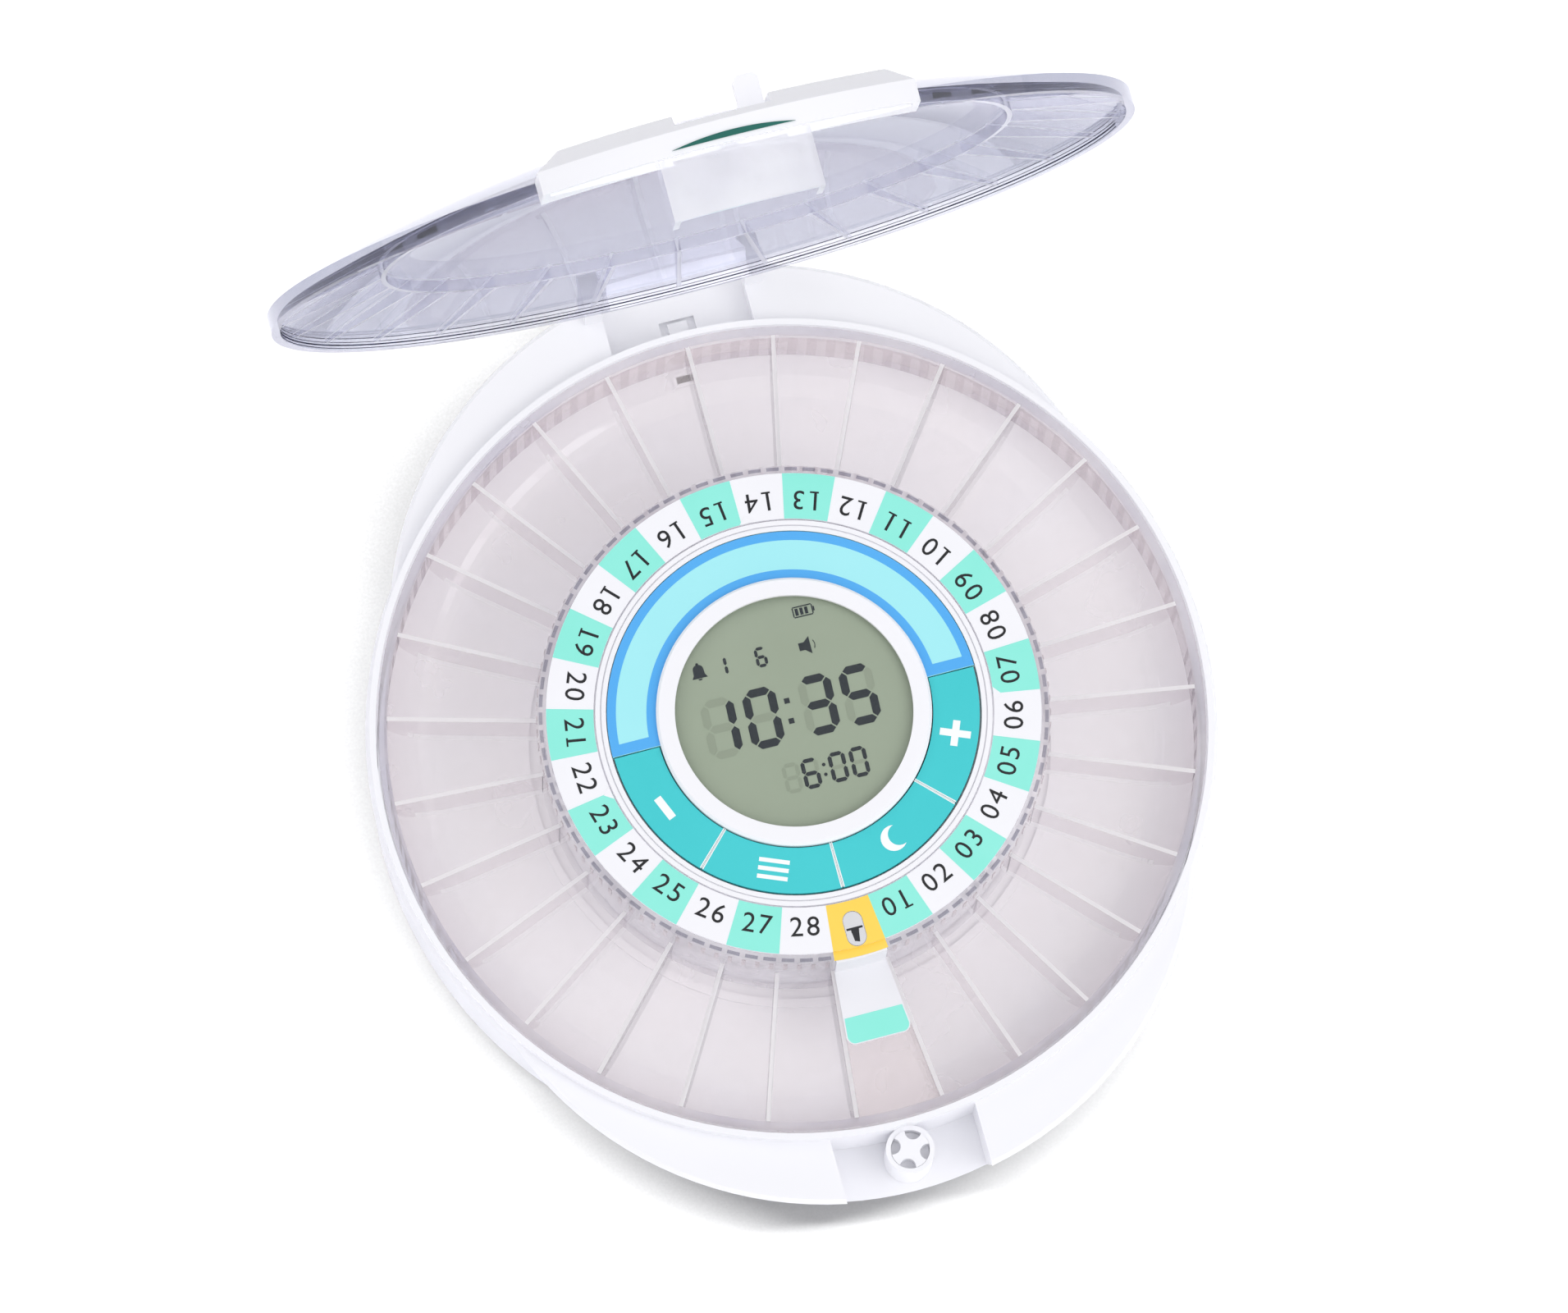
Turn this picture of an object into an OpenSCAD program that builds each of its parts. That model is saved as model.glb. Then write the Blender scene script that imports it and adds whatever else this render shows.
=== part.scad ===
// Automatic pill dispenser with a turning tray of day cells, a round control
// panel in the middle and a clear hinged lid, shown open as it rests.
// The origin is on the tray's axis, on the plane that the feet stand on.
// The lock is at the front (-Y), the hinge at the rear (+Y).

/* [Base] */
// Gap between the tray and the wall of its well
tray_gap = 0.5; // [0.4:0.1:0.6]
// Width of the case's edge round the well
edge_w = 2.5; // [2.3:0.1:3]
// How far the front and rear bulges reach past the round middle
bulge_out = 14.5; // [14:0.1:15.5]
// How much smaller the bulges' radius is than the round middle's
bulge_less = 12.5; // [11:0.1:13.5]
// Height of the deck above the table
deck_z = 37; // [36:0.5:42]
// Draft angle of the bulges' side walls
side_draft = 12; // [6:1:14]
// Draft angle of the round middle's side wall
middle_draft = 1.5; // [0.5:0.1:1.6]
// Angle at which the lower case runs in under the joint
under_draft = 27; // [12:1:30]
// Wall of the case shells
case_wall = 2; // [1.6:0.1:2.4]
// Height of the joint between lower and upper case
split_z = 15; // [13:0.5:16]
// Height of the collar above the deck
collar_h = 3; // [2:0.5:4]
// Width of the front and rear recesses
recess_w = 35; // [34.6:0.2:38]
// Depth of the front recess below the collar
front_recess_h = 15.2; // [15.2:0.2:17]
// Depth of the rear recess below the deck
rear_recess_h = 6; // [4:0.5:9]

/* [Feet and screws] */
// Radius of a rubber foot
foot_r = 7; // [5:0.5:8]
// Height of the feet below the case
foot_h = 2; // [1.5:0.5:3]
// Distance of the feet's centres in from the case's edge
foot_in = 16.5; // [15:0.5:20]
// Distance of the case screws in from the case's edge
screw_in = 20.5; // [18:0.5:24]
// Radius of a screw's thread
screw_r = 1.5; // [1.2:0.1:1.8]

/* [Tray] */
// Outer radius of the tray
tray_r = 97.5; // [95:0.5:100]
// Radius of the cells' inner wall, on the cell side
cell_in_r = 60; // [59.8:0.1:62]
// Number of cells, the covered start cell counted
cell_count = 29; // [15:1:29]
// Depth of the cells
cell_depth = 17.5; // [14:0.5:17.5]
// Wall of the tray
tray_wall = 1.5; // [1.2:0.1:1.6]
// Thickness of a divider
divider_t = 1; // [0.8:0.1:1.4]
// Radius of the scoop at the cells' outer corner
scoop_r = 13; // [8:1:14]
// Height of the number card above the collar
card_h = 11.5; // [10:0.5:12]
// Gap between the number card and the panel tower
card_gap = 0.4; // [0.3:0.05:0.8]
// Outer radius of the number card
card_out_r = 58; // [56:0.5:58.4]
// Thickness of the number card
card_t = 0.8; // [0.5:0.1:1]

/* [Drive] */
// Module of the gear teeth
gear_module = 1; // [1:0.01:1.01]
// Teeth of the tray's inner gear
ring_teeth = 112; // [112:1:112]
// Teeth of the motor's pinion
pinion_teeth = 14; // [14:1:14]
// Width of the gear teeth along the axis
gear_w = 6; // [4:0.5:7]
// Length of the gear motor's box
gearbox_l = 24; // [20:1:28]
// Radius of the motor
motor_r = 6; // [5:0.5:6.5]

/* [Control panel] */
// Outer radius of the key band
key_out_r = 43.8; // [43:0.1:44]
// Wall of the panel tower
tower_wall = 2.5; // [2.2:0.1:2.6]
// Outer radius of the white ring round the display
bezel_r = 32.3; // [31:0.1:33]
// Visible radius of the display
display_r = 27.9; // [26:0.1:28.5]
// Height of the display ring above the card
bezel_h = 1.5; // [1:0.1:2]
// Gap round each key
key_gap = 0.3; // [0.3:0.05:0.5]
// Travel of a key
key_travel = 0.8; // [0.5:0.1:0.8]
// Thickness of a key
key_t = 1.5; // [1.2:0.1:1.8]

/* [Batteries] */
// Radius of a battery cell
battery_r = 7.25; // [7.25:0.05:7.3]
// Length of a battery cell without its nub
battery_l = 49.2; // [48:0.1:49.5]
// Number of battery cells
battery_count = 4; // [2:1:4]

/* [Lid] */
// Distance of the lid's rim in from the case's edge
lid_in = 0.5; // [0.3:0.1:0.8]
// Height of the lid's straight skirt
lid_skirt = 4; // [3.5:0.1:5]
// Rise of the dome above the skirt
dome_rise = 16; // [15.8:0.1:20]
// Wall of the lid
lid_wall = 2; // [1.6:0.1:2]
// Gap between the closed lid and the collar
lid_gap = 0.4; // [0.3:0.1:0.8]
// Angle between the closed lid and the lid as it rests
open_angle = 82; // [60:1:95]
// Distance of the hinge axis behind the round middle of the case
hinge_out = 11.6; // [11.5:0.1:12]
// Height of the hinge axis above the collar
hinge_h = 8; // [8:0.1:9]
// Width of the lid's hinge arm
arm_w = 34; // [30:0.5:34]
// Radius of the hinge pin
pin_r = 2; // [1.5:0.1:2.2]
// Radius of the hinge knuckles
knuckle_r = 4.5; // [4:0.1:5]
// Thickness of a hinge ear
ear_t = 4.5; // [3:0.1:5]
// Depth of the ribs under the dome
rib_h = 3; // [1.5:0.1:3]
// Length of the ribs, from the lid's rim to the ring that joins them
rib_l = 28; // [24:1:32]

/* [Front of the lid] */
// Width of the front trim at its foot
trim_w = 83; // [78:1:88]
// Width of the front trim along its top
trim_top_w = 72; // [64:1:74]
// Height of the trim's shoulders above the rim
trim_h = 7.8; // [7.4:0.1:8.4]
// Height of the trim's upright front band
trim_band_h = 4; // [3.4:0.1:4.4]
// Height of the door channel above the rim
channel_h = 5.5; // [5.3:0.1:5.8]
// Travel of the dispensing door
door_travel = 15; // [10:0.5:15]
// Width of the thumb tab
tab_w = 5.6; // [4:0.1:6]
// Height of the thumb tab above the channel
tab_h = 8.4; // [5:0.1:9]
// Width of the mouth that the pills leave through
mouth_w = 15; // [12:0.5:15]
// Length of the mouth towards the front
mouth_l = 9; // [7:0.5:9]
// Width of the chute box
chute_w = 33; // [30:0.5:33.4]
// Depth of the chute box below the rim
chute_h = 14.5; // [12:0.1:14.5]
// Wall of the chute box
chute_wall = 1.4; // [1.2:0.1:1.4]
// Width of the teal strip
strip_w = 27; // [20:0.5:30]
// Height of the teal strip
strip_h = 1.3; // [1.1:0.1:2.4]

/* [Lock] */
// Distance of the lock in front of the round middle of the case
lock_out = 4.2; // [4:0.1:4.4]
// Radius of the lock's sleeve
lock_sleeve_r = 5.7; // [5.4:0.1:5.8]
// Radius of the lock's plug
lock_plug_r = 4.5; // [4.2:0.1:4.6]
// Depth of the lock's face below the collar
lock_face_h = 3; // [2.5:0.5:6]
// Reach of the cam from the lock's axis
cam_reach = 4; // [3.6:0.1:4.2]

/* [Hidden] */
$fn = 128;

white = "white";
clear = [0.86, 0.85, 0.92, 0.45];
teal = [0.24, 0.78, 0.8];
mint = [0.58, 0.94, 0.88];
grey = [0.45, 0.46, 0.48];
steel = "silver";
green = [0.1, 0.4, 0.25];

// Small gap between pieces that are fixed to each other
seat = 0.02;
// Running gap between moving pieces
run = 0.3;
// Extra length that lets a cut pass right through
past = 1;

// Sizes round the panel
tower_in_r = key_out_r + 0.2;
tower_r = tower_in_r + tower_wall;
card_in_r = tower_r + card_gap;

// Sizes round the tray
well_r = tray_r + tray_gap;
case_r = well_r + edge_w;
bulge_r = case_r - bulge_less;
bulge_y = bulge_less + bulge_out;
foot_ring_r = case_r - foot_in;
screw_ring_r = case_r - screw_in;
lid_r = case_r - lid_in;
hinge_y = case_r + hinge_out;
lock_y = case_r + lock_out;
rib_ring_r = lid_r - rib_l;

// Heights and walls of the case
rim_z = deck_z + collar_h;
case_z = foot_h;
floor_z = case_z + case_wall;
bulge_slope = tan(side_draft);
middle_slope = tan(middle_draft);
under_slope = tan(under_draft);
deck_t = 2.4;
edge_bevel = 1;

// Tray heights
tray_floor_z = rim_z - cell_depth;
tray_under_z = tray_floor_z - tray_wall;
card_z = rim_z + card_h;
flange_z = card_z - card_t;
cell_out_r = tray_r - tray_wall;
inner_wall_r = cell_in_r - tray_wall;
cell_angle = 360 / cell_count;
start_angle = -90;
lip_h = 1.2;
lip_w = 0.6;
cell_fit = 0.1;
label_gap = 0.1;
label_t = 0.5;
label_end_r = 78.1;
label_half = 7.7;
label_in_half = 6.1;
label_corner = 2;
peg_half = 1.9;
peg_r = 2.2;
peg_gap = 0.15;
peg_place_r = card_out_r - peg_half - peg_r - peg_gap - 0.1;

// Chassis plate under the tray
rail_h = 0.9;
chassis_t = 1.6;
chassis_top_z = tray_under_z - run - rail_h;
chassis_z = chassis_top_z - chassis_t;
well_wall = 1.6;
chassis_hole_r = tower_in_r + 1;
tower_foot_w = 1.3;
rail_r = 62;
rail_w = 2;
boss_r = 4;
screw_count = 6;
screw_head_r = 2.8;
screw_head_h = 1.2;
screw_l = 12;
cover_screw_l = 7.5;
cross_l = 3.2;
cross_w = 0.7;
foot_count = 4;
foot_plug_r = 3;

// Drive
ring_pitch_r = ring_teeth * gear_module / 2;
pinion_pitch_r = pinion_teeth * gear_module / 2;
pinion_y = ring_pitch_r - pinion_pitch_r;
tooth_out = 0.8 * gear_module;
tooth_in = 1.1 * gear_module;
tooth_root_half = 0.93 * gear_module;
tooth_tip_half = 0.3 * gear_module;
gear_z = tray_under_z + 0.6;
pinion_shaft_r = 1.5;
gearbox_w = 20;
gearbox_h = 12;
motor_l = 22;
notch_w = 22;
sensor_w = 3.2;
sensor_l = 1.6;
sensor_h = 5;
sensor_in = 4.6;
sensor_x = -1.1;
sensor_rise = 0.6;
sensor_rim = 1;
sensor_gap = 0.05;

// Speaker
speaker_in = 34.5;
speaker_r = 15;
speaker_rim = 2;
speaker_h = 5;
speaker_cone_t = 1;
speaker_hole_r = 1.2;
magnet_r = 8;

// Battery bay
battery_pitch = 2 * battery_r + 0.4;
bay_in_w = battery_count * battery_pitch + 0.8;
nub_r = 2.7;
nub_h = 1.3;
contact_t = 1.4;
bay_in_l = battery_l + nub_h + 2 * contact_t + 0.6;
bay_wall = 1.2;
cover_t = 1.8;
cover_gap = 0.3;
battery_z = case_z + cover_t + run + battery_r;
bay_roof_z = battery_z + battery_r + run;
bay_top_z = bay_roof_z + bay_wall;
cover_tab_w = 10;
cover_tab_l = 7;

// Boards
board_t = 1.6;
board_r = tower_in_r - 2;
board_gap = 1.2;
main_board_z = bay_top_z + board_gap;
key_board_r = tower_in_r - 0.6;
key_board_drop = 7.1;
key_board_z = card_z - key_board_drop;
shelf_w = 2.5;
shelf_t = 1.4;
key_shelf_gap = 0.1;
key_shelf_w = 1.4;
groove_r = tower_r - 1.4;
groove_w = 0.3;
groove_h = 0.5;

// Display
bezel_top_z = card_z + bezel_h;
bezel_lip_t = 1;
bezel_wall = 2.3;
display_seat_r = bezel_r - bezel_wall;
window_t = 1;
display_t = 2.6;
window_z = bezel_top_z - bezel_lip_t - window_t - seat;
display_z = window_z - display_t - 0.1;

// Keys
key_in_r = bezel_r + key_gap;
key_edge_r = key_out_r - key_gap;
key_z = card_z - key_t;
key_gap_angle = key_gap / ((key_in_r + key_edge_r) / 2) * 180 / PI;
key_angle = 45;
plunger_r = 1.5;
plunger_h = 2;
switch_w = 6;
switch_h = key_z - plunger_h - key_travel - key_shelf_gap - key_board_z - board_t;
key_mid_r = (key_in_r + key_edge_r) / 2;

// Lid, in its closed place
rim_plane_z = rim_z + lid_gap;
skirt_top_z = rim_plane_z + lid_skirt;
dome_r = (pow(lid_r, 2) + pow(dome_rise, 2)) / (2 * dome_rise);
dome_centre_z = skirt_top_z + dome_rise - dome_r;
dome_in_r = dome_r - lid_wall;
lid_in_r = lid_r - lid_wall;
hinge_z = rim_z + hinge_h;
pin_gap = 0.05;
ear_gap = 0.4;
pin_l = arm_w + 2 * ear_gap + 2 * ear_t;
arm_t = 3;
arm_root_y = lid_r - 0.6;
rib_t = 1;
rib_ring_t = 1.2;

// Front of the lid
trim_foot_h = 1;
trim_wall = 1.7;
trim_r = bulge_r - 0.5;
trim_back_y = lid_r - 13;
trim_reach = bulge_y + bulge_r - trim_back_y;
tab_right_x = 9.2;
channel_left_x = tab_right_x - tab_w - door_travel;
tab_y = lid_r + 0.5;
tab_l = 3.6;
tab_corner = 1.7;
door_t = 1.4;
door_side = 1.4;
mouth_x = 0.6;
mouth_front_y = lid_r - 1.4;
door_back_y = mouth_front_y - mouth_l - door_side;
door_front_y = tab_y + tab_l + 0.5;
door_left_x = mouth_x - mouth_w / 2 - door_side;
door_right_x = tab_right_x;
door_top_z = rim_plane_z + channel_h;
door_z = door_top_z - door_t;
chute_face_r = bulge_r_at(rim_plane_z - chute_h) - 0.3;
chute_roof = 1.2;

// Lock
front_floor_z = rim_z - front_recess_h;
rear_floor_z = deck_z - rear_recess_h;
lock_face_z = rim_z - lock_face_h;
plug_gap = 0.06;
plug_rise = 0.3;
lobe_count = 4;
lobe_r = 1.9;
lobe_turn = -23;
lobe_offset = lock_plug_r - 0.3;
socket_h = 3;
snap_out = 2.2;
snap_w = 8.6;
snap_l = 5.2;
snap_leg = 1.9;
snap_groove = 0.7;
snap_h = 1.3;
cam_z = front_floor_z - case_wall - 0.5;
cam_t = 2;
plug_stem_r = 2;

// Height of the dome's inner face at a distance from the axis
function dome_in_z(r) = dome_centre_z + sqrt(pow(dome_in_r, 2) - pow(r, 2));

// Radii of the case at a height above the joint
function middle_r(z) = case_r - (deck_z - z) * middle_slope;
function bulge_r_at(z) = bulge_r - (deck_z - z) * bulge_slope;

// Part of the case's outer form above the joint, drawn in by an inset
module case_form(low, high, inset) {
    translate([0, 0, low])
        cylinder(h = high - low, r1 = middle_r(low) - inset, r2 = middle_r(high) - inset);
    for (side = [-1, 1])
        translate([0, side * bulge_y, low])
            cylinder(h = high - low, r1 = bulge_r_at(low) - inset, r2 = bulge_r_at(high) - inset);
}

// Part of the case's outer form under the joint, drawn in by an inset
module under_form(low, high, inset) {
    in_low = (split_z - low) * under_slope + inset;
    in_high = (split_z - high) * under_slope + inset;
    translate([0, 0, low])
        cylinder(h = high - low, r1 = middle_r(split_z) - in_low, r2 = middle_r(split_z) - in_high);
    for (side = [-1, 1])
        translate([0, side * bulge_y, low])
            cylinder(h = high - low, r1 = bulge_r_at(split_z) - in_low, r2 = bulge_r_at(split_z) - in_high);
}

// Deck edge with a small bevel
module deck_edge(low, high) {
    translate([0, 0, low])
        cylinder(h = high - low, r1 = case_r, r2 = case_r - edge_bevel);
    for (side = [-1, 1])
        translate([0, side * bulge_y, low])
            cylinder(h = high - low, r1 = bulge_r, r2 = bulge_r - edge_bevel);
}

// Flat ring
module ring(r_out, r_in, h) {
    difference() {
        cylinder(h = h, r = r_out);
        translate([0, 0, -past])
            cylinder(h = h + 2 * past, r = r_in);
    }
}

// Part of a flat ring between two angles
module ring_sector(r_out, r_in, h, from, to) {
    rotate([0, 0, from])
        rotate_extrude(angle = to - from)
            translate([r_in, 0])
                square([r_out - r_in, h]);
}

// Places copies on a circle
module around(count, radius, first) {
    for (i = [0 : count - 1])
        rotate([0, 0, first + i * 360 / count])
            translate([radius, 0, 0])
                children();
}

// Turns the closed lid up to where it rests
module on_open_lid() {
    translate([0, hinge_y, hinge_z])
        rotate([-open_angle, 0, 0])
            translate([0, -hinge_y, -hinge_z])
                children();
}

// Block of space inside the front recess, down to a height
module front_space(low, grow) {
    difference() {
        translate([-recess_w / 2 - grow, -case_r - bulge_y, low])
            cube([recess_w + 2 * grow, case_r + bulge_y - 90, rim_z + past - low]);
        translate([0, 0, low - past])
            cylinder(h = rim_z - low + 3 * past, r = case_r - edge_bevel - grow);
    }
}

// Block of space inside the rear recess, down to a height
module rear_space(low, grow) {
    difference() {
        translate([-recess_w / 2 - grow, 90, low])
            cube([recess_w + 2 * grow, case_r + bulge_y - 90, rim_z + past - low]);
        translate([0, 0, low - past])
            cylinder(h = rim_z - low + 3 * past, r = case_r - edge_bevel - grow);
    }
}

module screw_places() {
    around(screw_count, screw_ring_r, 0)
        children();
}

module bay_screw_place() {
    translate([0, bay_in_l / 2 + bay_wall + cover_tab_l / 2, 0])
        children();
}

module cover_outline(gap) {
    square([bay_in_w + 2 * gap, bay_in_l + 2 * gap], center = true);
    translate([-cover_tab_w / 2 - gap, 0])
        square([cover_tab_w + 2 * gap, bay_in_l / 2 + bay_wall + cover_tab_l + gap]);
}

module lower_case() {
    color(white) {
        difference() {
            under_form(case_z, split_z, 0);
            difference() {
                under_form(floor_z, split_z + past, case_wall);
                translate([-bay_in_w / 2 - bay_wall, -bay_in_l / 2 - bay_wall, case_z])
                    cube([bay_in_w + 2 * bay_wall, bay_in_l + 2 * bay_wall, split_z]);
                bay_screw_place()
                    translate([0, 0, case_z])
                        cylinder(h = split_z - case_z - 3, r = cover_tab_w / 2);
            }
            translate([0, 0, case_z - past])
                linear_extrude(past + cover_t + cover_gap)
                    cover_outline(cover_gap);
            translate([-bay_in_w / 2, -bay_in_l / 2, case_z])
                cube([bay_in_w, bay_in_l, split_z]);
            bay_screw_place()
                translate([0, 0, case_z])
                    cylinder(h = cover_screw_l + 0.5, r = screw_r + seat);
            screw_places()
                translate([0, 0, case_z - past]) {
                    cylinder(h = past + 2 * case_wall, r = screw_r + 0.2);
                    cylinder(h = past + screw_head_h + 0.1, r = screw_head_r + 0.3);
                }
            translate([0, 0, case_z - past])
                around(foot_count, foot_ring_r, 45)
                    cylinder(h = past + case_wall + past, r = foot_plug_r + seat);
            speaker_place()
                translate([0, 0, case_z - past]) {
                    cylinder(h = past + case_wall + past, r = speaker_hole_r);
                    around(6, 5 * speaker_hole_r, 0)
                        cylinder(h = past + case_wall + past, r = speaker_hole_r);
                }
        }
        // Walls and roof of the battery bay above the joint
        difference() {
            translate([-bay_in_w / 2 - bay_wall, -bay_in_l / 2 - bay_wall, split_z])
                cube([bay_in_w + 2 * bay_wall, bay_in_l + 2 * bay_wall, bay_top_z - split_z]);
            translate([-bay_in_w / 2, -bay_in_l / 2, split_z - past])
                cube([bay_in_w, bay_in_l, bay_roof_z - split_z + past]);
        }
        // Studs that carry the main board
        for (x = [-1, 1], y = [-1, 1])
            translate([x * (bay_in_w / 2 - 4), y * (bay_in_l / 2 - 4), bay_top_z])
                cylinder(h = board_gap, r = 2);
    }
}

module upper_case() {
    ear_x = arm_w / 2 + ear_gap;
    color(white) {
        difference() {
            union() {
                case_form(split_z, deck_z - edge_bevel, 0);
                deck_edge(deck_z - edge_bevel, deck_z);
                translate([0, 0, deck_z - edge_bevel])
                    cylinder(h = collar_h + edge_bevel, r = case_r - edge_bevel);
                // Hinge ears
                for (side = [-1, 1])
                    translate([side > 0 ? ear_x : -ear_x - ear_t, 0, 0]) {
                        translate([0, hinge_y, hinge_z])
                            rotate([0, 90, 0])
                                cylinder(h = ear_t, r = knuckle_r);
                        translate([0, hinge_y - knuckle_r, rear_floor_z + 1])
                            cube([ear_t, knuckle_r + 2.4, hinge_z - rear_floor_z - 1]);
                    }
            }
            // Hollow between the outer wall, the deck, the well and the recesses
            difference() {
                case_form(split_z - past, deck_z - deck_t, case_wall);
                translate([0, 0, split_z - 2 * past])
                    cylinder(h = deck_z, r = well_r + well_wall);
                front_space(front_floor_z - case_wall, case_wall);
                rear_space(rear_floor_z - case_wall, case_wall);
            }
            // Well for the tray
            translate([0, 0, split_z - past])
                cylinder(h = rim_z - split_z + 2 * past, r = well_r);
            front_space(front_floor_z, 0);
            rear_space(rear_floor_z, 0);
            // Hole and seat for the lock
            translate([0, -lock_y, front_floor_z - case_wall - past])
                cylinder(h = case_wall + 2 * past, r = plug_stem_r + 1);
            translate([0, -lock_y, front_floor_z])
                cylinder(h = rim_z, r = lock_sleeve_r + seat);
            // Groove round the snap tab in the rear recess
            translate([0, case_r + snap_out, rear_floor_z - snap_h])
                linear_extrude(snap_h + past)
                    difference() {
                        square([snap_w, snap_l], center = true);
                        translate([0, -snap_groove])
                            square([snap_w - 2 * snap_leg, snap_l], center = true);
                    }
            // Hinge pin holes
            translate([-recess_w, hinge_y, hinge_z])
                rotate([0, 90, 0])
                    cylinder(h = 2 * recess_w, r = pin_r + seat);
        }
    }
}

module chassis_plate() {
    color(white)
        difference() {
            union() {
                translate([0, 0, chassis_z])
                    cylinder(h = chassis_t, r = well_r - 0.1);
                translate([0, 0, chassis_top_z])
                    ring(rail_r + rail_w, rail_r, rail_h);
                screw_places()
                    translate([0, 0, floor_z])
                        cylinder(h = chassis_z - floor_z + seat, r = boss_r);
                sensor_place()
                    translate([-sensor_w / 2 - sensor_rim, -sensor_l / 2 - sensor_rim, chassis_z])
                        cube([sensor_w + 2 * sensor_rim, sensor_l + 2 * sensor_rim, chassis_t + sensor_rise]);
            }
            translate([0, 0, chassis_z - past])
                cylinder(h = chassis_t + rail_h + 2 * past, r = chassis_hole_r);
            screw_places()
                translate([0, 0, floor_z - past])
                    cylinder(h = screw_l, r = screw_r + seat);
            sensor_place()
                translate([-sensor_w / 2 - sensor_gap, -sensor_l / 2 - sensor_gap, chassis_z - past])
                    cube([sensor_w + 2 * sensor_gap, sensor_l + 2 * sensor_gap, sensor_h + 2 * past]);
            translate([0, pinion_y, chassis_z - past])
                cylinder(h = chassis_t + 2 * past, r = pinion_shaft_r + 0.8);
        }
}

module panel_tower() {
    color(white)
        difference() {
            union() {
                translate([0, 0, chassis_top_z])
                    ring(tower_r, tower_in_r, card_z - chassis_top_z);
                translate([0, 0, chassis_top_z - chassis_t])
                    ring(chassis_hole_r - 0.05, tower_in_r - tower_foot_w, chassis_t);
                translate([0, 0, key_board_z - shelf_t])
                    ring(tower_in_r + seat, tower_in_r - shelf_w, shelf_t);
                translate([0, 0, key_z - key_travel - key_shelf_gap - shelf_t])
                    ring(tower_in_r + seat, tower_in_r - key_shelf_w, shelf_t);
                translate([0, 0, key_z - key_travel - key_shelf_gap - past])
                    ring_sector(tower_in_r + seat, tower_in_r - key_shelf_w,
                                key_travel + key_shelf_gap + past, 0, 180);
            }
            // Groove round the panel
            translate([0, 0, card_z - groove_h])
                ring(groove_r + groove_w, groove_r, groove_h + past);
            // Window that the pinion looks out of
            translate([-notch_w / 2, 30, chassis_top_z - chassis_t - past])
                cube([notch_w, 20, gear_z + gear_w + 2 - chassis_top_z + chassis_t]);
        }
}

module rubber_feet() {
    color([0.3, 0.3, 0.32])
        around(foot_count, foot_ring_r, 45) {
            cylinder(h = foot_h, r1 = foot_r - 0.5, r2 = foot_r);
            translate([0, 0, foot_h - seat])
                cylinder(h = case_wall + seat, r = foot_plug_r);
        }
}

module case_screws() {
    color(steel)
        screw_places()
            difference() {
                translate([0, 0, case_z]) {
                    cylinder(h = screw_head_h, r = screw_head_r);
                    cylinder(h = screw_l, r = screw_r);
                }
                screw_cross();
            }
}

// Cross in a screw's head
module screw_cross() {
    for (turn = [0, 90])
        rotate([0, 0, turn])
            translate([-cross_l / 2, -cross_w / 2, case_z - past])
                cube([cross_l, cross_w, past + cross_w]);
}

module battery_cover() {
    color(white)
        difference() {
            translate([0, 0, case_z])
                linear_extrude(cover_t)
                    cover_outline(0);
            bay_screw_place()
                translate([0, 0, case_z - past]) {
                    cylinder(h = cover_t + 2 * past, r = screw_r + 0.2);
                    cylinder(h = past + screw_head_h + 0.1, r = screw_head_r + 0.3);
                }
            // Finger grooves
            for (k = [0 : 4])
                translate([-9, -bay_in_l / 2 + 5 + 2.4 * k, case_z - past])
                    cube([18, 1, past + 0.6]);
        }
}

module battery_cover_screw() {
    color(steel)
        bay_screw_place()
            difference() {
                translate([0, 0, case_z]) {
                    cylinder(h = screw_head_h, r = screw_head_r);
                    cylinder(h = cover_screw_l, r = screw_r);
                }
                screw_cross();
            }
}

module battery_cells() {
    color("goldenrod")
        for (i = [0 : battery_count - 1])
            translate([(i - (battery_count - 1) / 2) * battery_pitch, 0, battery_z])
                rotate([i % 2 == 0 ? 90 : -90, 0, 0])
                    translate([0, 0, -(battery_l + nub_h) / 2]) {
                        cylinder(h = battery_l, r = battery_r);
                        translate([0, 0, battery_l - seat])
                            cylinder(h = nub_h + seat, r = nub_r);
                    }
}

module battery_contacts() {
    color(steel)
        for (i = [0 : battery_count - 1], side = [-1, 1])
            translate([(i - (battery_count - 1) / 2) * battery_pitch, side * (bay_in_l / 2 - 0.3), battery_z])
                rotate([side > 0 ? 90 : -90, 0, 0]) {
                    translate([-5, -5, -0.28])
                        cube([10, 10, 0.6]);
                    translate([0, 0, 0.3])
                        cylinder(h = contact_t - 0.32, r1 = 4, r2 = 2.6);
                }
}

module main_board() {
    color(green)
        translate([0, 0, main_board_z]) {
            difference() {
                cylinder(h = board_t, r = board_r - 0.4);
                translate([-notch_w / 2, pinion_y - pinion_pitch_r - 3, -past])
                    cube([notch_w, 20, board_t + 2 * past]);
            }
            translate([-8, -8, board_t])
                cube([16, 16, 1.4]);
            translate([14, -20, board_t])
                cube([8, 12, 3]);
            translate([-24, 10, board_t])
                cylinder(h = 7, r = 3);
        }
}

module key_board() {
    color(green)
        translate([0, 0, key_board_z])
            difference() {
                cylinder(h = board_t, r = key_board_r);
                translate([-9, -3, -past])
                    cube([18, 6, board_t + 2 * past]);
            }
}

module key_places() {
    for (k = [0 : 3])
        rotate([0, 0, -key_angle * (k + 0.5)])
            translate([key_mid_r, 0, 0])
                children();
}

module key_switches() {
    color(grey)
        key_places()
            translate([0, 0, key_board_z + board_t])
                difference() {
                    translate([-switch_w / 2, -switch_w / 2, 0])
                        cube([switch_w, switch_w, switch_h]);
                    for (x = [-1, 1])
                        translate([x * switch_w / 2, 0, -past])
                            cylinder(h = switch_h + 2 * past, r = 0.5);
                }
}

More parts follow.
